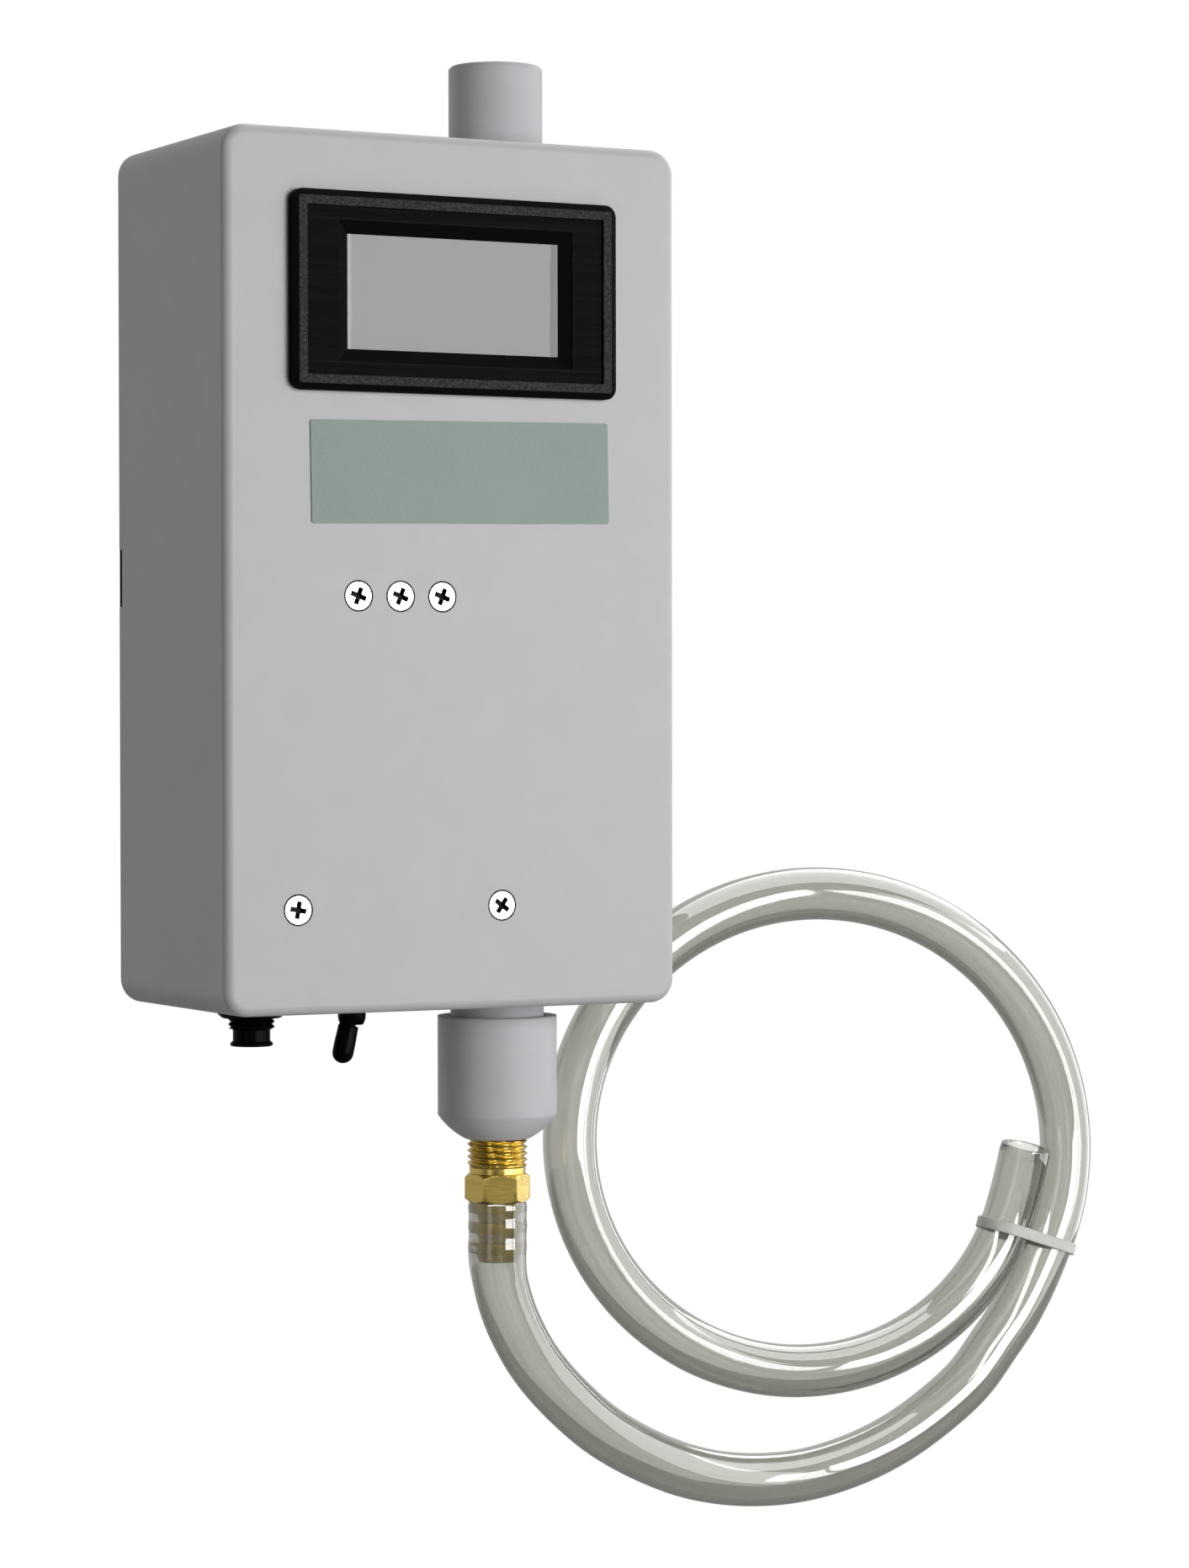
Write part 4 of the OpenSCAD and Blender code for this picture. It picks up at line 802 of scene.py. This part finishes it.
# Their heads, points, threads and cross recesses
HEAD_LAND, HEAD_T, HEAD_EDGE = 0.4, 2.0, 0.3
POINT_L, POINT_SHARE = 0.8, 0.5
SCREW_PITCH, SCREW_DEPTH, SCREW_FADE, SCREW_STEPS = 1.1, 0.35, 0.5, 40
SHANK_START, SCREW_SIDES = 0.1, 48
CROSS_ARM_SHARE, CROSS_HALF_SHARE, CROSS_DEEP, CROSS_OVER = 0.58, 0.175, 1.7, 0.3
CROSS_FOOT_ARM_SHARE, CROSS_FOOT_HALF_SHARE, CROSS_HAIR = 0.6, 0.9, 0.003
# Slack within which a face counts as part of the recess
ARM_SLACK_SHARE, TOP_SLACK, FOOT_SLACK = 1.02, 0.02, 0.05
# Their places: the row of three, the pair below it and the four of the lid
ROW_X, ROW_PITCH, ROW_Z = -13.4, 10.1, -5.05
PAIR_X, PAIR_SPAN, PAIR_Z = -13.4, 49.2, -72.95
LID_X, LID_Z, LID_SINK = 48.8, 89.55, -0.3


def screw_blank(head_r, shank_r, length):
    """Turned screw with its head's face at zero and its point along Z."""
    shank = steps(HEAD_T + SHANK_START, length - POINT_L, SCREW_STEPS)
    profile = [(0, 0), (head_r - HEAD_EDGE, 0), (head_r, HEAD_EDGE), (head_r, HEAD_LAND),
               (shank_r, HEAD_T)]
    profile += [(shank_r, z) for z in shank]
    profile += [(shank_r * POINT_SHARE, length), (0, length)]
    spiral = thread(shank_r, SCREW_PITCH, SCREW_DEPTH, length - SCREW_FADE, HEAD_T, SCREW_FADE)
    work = bmesh.new()
    revolve(work, profile, SCREW_SIDES, 0.0, spiral)
    return bpy.data.objects.new("screw_blank", to_mesh("screw_blank", work))


def cross_cutter(head_r):
    """Two crossed tapered bars that cut the recess."""
    arm, half = head_r * CROSS_ARM_SHARE, head_r * CROSS_HALF_SHARE
    levels = ((arm, half, -CROSS_OVER), (arm, half, 0.0),
              (arm * CROSS_FOOT_ARM_SHARE, half * CROSS_FOOT_HALF_SHARE, CROSS_DEEP))
    work = bmesh.new()
    for k in range(2):
        rows = []
        for reach, wide, depth in levels:
            corners = [(sx * reach, sy * wide) for sx, sy in ((1, -1), (1, 1), (-1, 1), (-1, -1))]
            rows.append([work.verts.new((x, y, depth) if k == 0 else (-y, x, depth + CROSS_HAIR))
                         for x, y in corners])
        for upper, lower in zip(rows, rows[1:]):
            for i in range(4):
                j = (i + 1) % 4
                work.faces.new((upper[i], upper[j], lower[j], lower[i]))
        work.faces.new(rows[0])
        work.faces.new(rows[-1])
    return bpy.data.objects.new("cross_cutter", to_mesh("cross_cutter", work))


def cut_screw(head_r, shank_r, length):
    """Mesh of one screw with its recess cut."""
    blank, cross = screw_blank(head_r, shank_r, length), cross_cutter(head_r)
    for thing in (blank, cross):
        SCENE.collection.objects.link(thing)
    cut = blank.modifiers.new("recess", "BOOLEAN")
    cut.operation = "DIFFERENCE"
    cut.solver = "EXACT"
    cut.use_self = True
    cut.object = cross
    graph = bpy.context.evaluated_depsgraph_get()
    graph.update()
    mesh = bpy.data.meshes.new_from_object(blank.evaluated_get(graph))
    for thing in (blank, cross):
        bpy.data.objects.remove(thing)
    return mesh


def shade_recesses(screws, places, head_r, into):
    """Painted shade: dark material on the faces of the cross recesses, and painted shadow on the
    heads' edge faces along the seams round them.
    """
    arm = head_r * CROSS_ARM_SHARE
    centres = [Vector(place) * MM for place in places]
    for face in screws.data.polygons:
        nearest = min(centres, key=lambda centre: (face.center - centre).length)
        away = face.center - nearest
        radius, sunk = math.hypot(away.x, away.z) / MM, away.y * into / MM
        # Faces in the cross take painted shade; the head's edge faces take the seam's painted
        # shadow
        in_cross = radius < arm * ARM_SLACK_SHARE and TOP_SLACK < sunk < CROSS_DEEP + FOOT_SLACK
        in_seam = radius > head_r - HEAD_EDGE and sunk < HEAD_EDGE
        if in_cross or in_seam:
            face.material_index = 1


def make_screws(name, node, materials, places, head_r, shank_r, length, turns, into):
    """Screws with their heads' faces at the places, turned by degrees, into +Y or -Y."""
    one = cut_screw(head_r, shank_r, length)
    lay = Matrix.Rotation(math.radians(-90 * into), 4, "X")
    work = bmesh.new()
    for place, turn in zip(places, turns):
        spin = Matrix.Rotation(math.radians(turn), 4, "Z")
        before = len(work.verts)
        work.from_mesh(one)
        work.verts.ensure_lookup_table()
        move = Matrix.Translation(place) @ lay @ spin @ Matrix.Scale(1 / MM, 4)
        bmesh.ops.transform(work, matrix=move, verts=work.verts[before:])
    screws = add_object(name, to_mesh(name, work))
    stand_for(screws, "nickel", materials, node)
    screws.data.materials.append(materials["recess"])
    shade_recesses(screws, places, head_r, into)


# Power jack, in millimetres round its own axis
JACK_X, JACK_Y = -36.0, -30.0
JACK_LOW, JACK_SIDES = -104.25, 72
JACK_THREAD_R, JACK_THREAD_TOP, JACK_THREAD_LOW = 5.15, -98.0, -100.5
JACK_PITCH, JACK_DEPTH, JACK_FADE, JACK_START, JACK_STEPS = 1.15, 0.5, 0.12, 0.15, 24
JACK_FLANGE_R, JACK_FLANGE_T = 7.0, 2.0
JACK_CORE_R, JACK_CORE_L = 5.5, 10.0
JACK_BORE_R, JACK_SOCKET_L, JACK_PIN_HOLE_R = 3.1, 12.0, 1.1
# Flared lip and neck: radius, and height over the jack's low end
JACK_LIP = [(3.1, 0.0), (4.45, 0.0), (4.68, 0.13), (4.75, 0.35), (4.75, 0.55), (4.6, 0.8),
            (4.2, 1.1), (4.15, 1.35), (4.15, 3.55), (4.4, 3.75)]
# Round nut: radius, and depth under the case
JACK_NUT = [(5.2, 0.0), (7.8, 0.0), (7.85, 0.1), (7.82, 0.55), (7.5, 1.35), (6.7, 2.1),
            (6.35, 2.25), (6.0, 2.3), (5.2, 2.3)]


def turned_piece(name, profile, segments, at, shape=None):
    """Piece turned round an upright axis at a place in X and Y."""
    work = bmesh.new()
    revolve(work, profile, segments, 0.0, shape)
    bmesh.ops.translate(work, verts=work.verts, vec=(*at, 0))
    return add_object(name, to_mesh(name, work))


def make_jack(materials):
    """Jack's barrel with two turns of thread, its flared lip and its round nut."""
    spiral = thread(JACK_THREAD_R, JACK_PITCH, JACK_DEPTH, JACK_THREAD_TOP, JACK_THREAD_LOW,
                    JACK_FADE)
    flange_top, core_top = FLOOR_INSIDE + JACK_FLANGE_T, FLOOR_INSIDE + JACK_CORE_L
    socket_top = JACK_LOW + JACK_SOCKET_L
    profile = [(radius, JACK_LOW + up) for radius, up in JACK_LIP]
    profile += [(JACK_THREAD_R, z)
                for z in steps(JACK_THREAD_LOW + JACK_START, JACK_THREAD_TOP, JACK_STEPS)]
    profile += [(JACK_THREAD_R, FLOOR_INSIDE), (JACK_FLANGE_R, FLOOR_INSIDE),
                (JACK_FLANGE_R, flange_top), (JACK_CORE_R, flange_top), (JACK_CORE_R, core_top),
                (JACK_PIN_HOLE_R, core_top), (JACK_PIN_HOLE_R, socket_top),
                (JACK_BORE_R, socket_top)]
    barrel = turned_piece("jack_barrel", profile, JACK_SIDES, (JACK_X, JACK_Y), spiral)
    stand_for(barrel, "jack_black", materials, "jack_body")
    profile = [(radius, CASE_BOTTOM - down) for radius, down in JACK_NUT]
    ring = turned_piece("jack_ring", profile, JACK_SIDES, (JACK_X, JACK_Y))
    stand_for(ring, "jack_black", materials, "jack_nut")


# Toggle switch, in millimetres; the lever leans about its pivot
TOGGLE_X, TOGGLE_Y, PIVOT_Z = -11.5, -30.0, -96.95
LEVER_LEAN = math.radians(13)
TOGGLE_SIDES = 48
# Collar: radius, and depth under the case
TOGGLE_COLLAR = [(2.45, 0.0), (3.15, 0.0), (3.15, 2.85), (3.05, 3.45), (2.8, 4.15), (2.62, 4.5),
                 (2.55, 4.6), (2.45, 4.6)]
# Lever: its ball, its neck as radius and depth under the pivot, and its rounded end
BALL_R, BALL_REACH, BALL_STEPS = 1.7, math.radians(120), 10
LEVER_NECK = [(1.6, 3.9), (1.95, 3.65), (2.15, 3.62), (2.26, 3.8), (2.3, 4.2), (2.33, 5.6),
              (2.4, 7.2), (2.4, 9.9)]
LEVER_END_START, LEVER_END_STEPS = 0.15, 8


def lever_profile():
    """Section of the lever as radius and height over its pivot."""
    end_r, end_down = LEVER_NECK[-1]
    ball = steps(0.0, BALL_REACH, BALL_STEPS)
    end = steps(LEVER_END_START, math.pi / 2, LEVER_END_STEPS)
    profile = [(BALL_R * math.sin(a), BALL_R * math.cos(a)) for a in ball]
    profile += [(radius, -down) for radius, down in LEVER_NECK]
    profile += [(end_r * math.cos(a), -end_down - end_r * math.sin(a)) for a in end]
    return profile


def make_toggle(materials):
    """Switch's collar, and its lever turned about the pivot pin to the left."""
    profile = [(radius, CASE_BOTTOM - down) for radius, down in TOGGLE_COLLAR]
    collar = turned_piece("toggle_collar", profile, TOGGLE_SIDES, (TOGGLE_X, TOGGLE_Y))
    stand_for(collar, "lever_black", materials, "switch_nut")
    work = bmesh.new()
    revolve(work, lever_profile(), TOGGLE_SIDES)
    pivot = Matrix.Translation((TOGGLE_X, TOGGLE_Y, PIVOT_Z))
    move = pivot @ Matrix.Rotation(LEVER_LEAN, 4, "Y")
    bmesh.ops.transform(work, matrix=move, verts=work.verts)
    lever = add_object("toggle_lever", to_mesh("toggle_lever", work), "toggle")
    stand_for(lever, "lever_black", materials, "switch_lever")


# Pry notch in the rim of the case, at its left: its place, reach inwards, length and depth, and
# the eased edges of the lip in it
NOTCH_X, NOTCH_IN, NOTCH_L, NOTCH_DEEP = -55.0, 2.03, 13.0, 0.45
LIP_EASE = 0.06


def make_notch_lip(materials):
    """Lid's thin edge behind the pry notch, its front painted dark as the notch's shade."""
    low = Vector((NOTCH_X, -NOTCH_DEEP, -NOTCH_L / 2))
    high = Vector((NOTCH_X + NOTCH_IN, 0.0, NOTCH_L / 2))
    size = high - low - Vector((LIP_EASE, LIP_EASE, LIP_EASE))
    work = bmesh.new()
    bmesh.ops.create_cube(work, size=1.0)
    bmesh.ops.scale(work, verts=work.verts, vec=size)
    bmesh.ops.translate(work, verts=work.verts, vec=(low + high) / 2)
    bmesh.ops.bevel(work, geom=list(work.edges), offset=LIP_EASE, segments=2, affect="EDGES",
                    profile=0.5)
    lip = add_object("lid_edge", to_mesh("lid_edge", work))
    lip.data.materials.append(materials["lid_grey"])
    lip.data.materials.append(materials["recess"])
    # Painted shade: faces looking forwards into the notch take the dark recess material
    for face in lip.data.polygons:
        if face.normal.y < -0.5:
            face.material_index = 1


# Floor: its height and radius in metres, its grey, and its glow seen plainly and through the hose
FLOOR_Z = -0.62
FLOOR_RADIUS = 1.8
FLOOR_SIDES = 96
FLOOR_GREY, FLOOR_ROUGH = (0.4, 0.4, 0.4), 0.9
FLOOR_GLOW, FLOOR_GLOW_THROUGH = 0.9, 0.6


def make_floor():
    """Plain pale floor, white to the camera, bright through the hose, clear from below."""
    work = bmesh.new()
    bmesh.ops.create_circle(work, cap_ends=True, segments=FLOOR_SIDES, radius=FLOOR_RADIUS / MM)
    bmesh.ops.translate(work, verts=work.verts, vec=(0, 0, FLOOR_Z / MM))
    floor = add_object("floor", to_mesh("floor", work), None)
    if floor.data.polygons[0].normal.z < 0:
        floor.data.flip_normals()
    mat = material("pale_floor", FLOOR_GREY, FLOOR_ROUGH)
    path = new_node(mat, "LightPath")
    drive(mat, "Emission Strength", arithmetic(
        mat, "ADD", arithmetic(mat, "MULTIPLY", path.outputs["Is Camera Ray"], FLOOR_GLOW),
        arithmetic(mat, "MULTIPLY", path.outputs["Is Transmission Ray"], FLOOR_GLOW_THROUGH)))
    socket_of(mat, "Emission Color").default_value = (1, 1, 1, 1)
    see_through = new_node(mat, "BsdfTransparent")
    under = new_node(mat, "NewGeometry").outputs["Backfacing"]
    mix = new_node(mat, "MixShader", (), {
        "Fac": under, 1: mat.node_tree.nodes["Principled BSDF"].outputs[0],
        2: see_through.outputs[0]})
    output = mat.node_tree.nodes["Material Output"]
    mat.node_tree.links.new(mix.outputs[0], output.inputs["Surface"])
    floor.data.materials.append(mat)


aim_camera()
MATERIALS = make_materials()
dress_nodes(MATERIALS)
hose, hose_path = make_hose(MATERIALS)
tie = make_tie(MATERIALS)
make_fitting(MATERIALS)
ROW_PLACES = [(ROW_X + k * ROW_PITCH, FRONT_Y, ROW_Z) for k in (-1, 0, 1)]
PAIR_PLACES = [(PAIR_X + k * PAIR_SPAN / 2, FRONT_Y, PAIR_Z) for k in (-1, 1)]
LID_PLACES = [(x, LID_SINK, z) for x in (-LID_X, LID_X) for z in (-LID_Z, LID_Z)]
make_screws("row_screws", "bracket_screws", MATERIALS, ROW_PLACES, HEAD_R, SHANK_R,
            ROW_SCREW_L, (20, 22, 21), 1)
make_screws("pair_screws", "board_screws", MATERIALS, PAIR_PLACES, HEAD_R, SHANK_R,
            PAIR_SCREW_L, (10, 35), 1)
make_screws("cover_screws", "lid_screws", MATERIALS, LID_PLACES, LID_HEAD_R, LID_SHANK_R,
            LID_SCREW_L, (15, 40, 5, 62), -1)
make_jack(MATERIALS)
make_toggle(MATERIALS)
make_notch_lip(MATERIALS)
make_floor()
make_world()
light_box("key", *KEY_LIGHT)
light_box("streak", *STREAK_PANEL, on_all=False)
light_box("broad", *BROAD_PANEL, on_all=False)
light_box("top", *TOP_PANEL, on_all=False)
light_box("front", *FRONT_PANEL, on_all=False)

SCENE.view_settings.view_transform = "Standard"
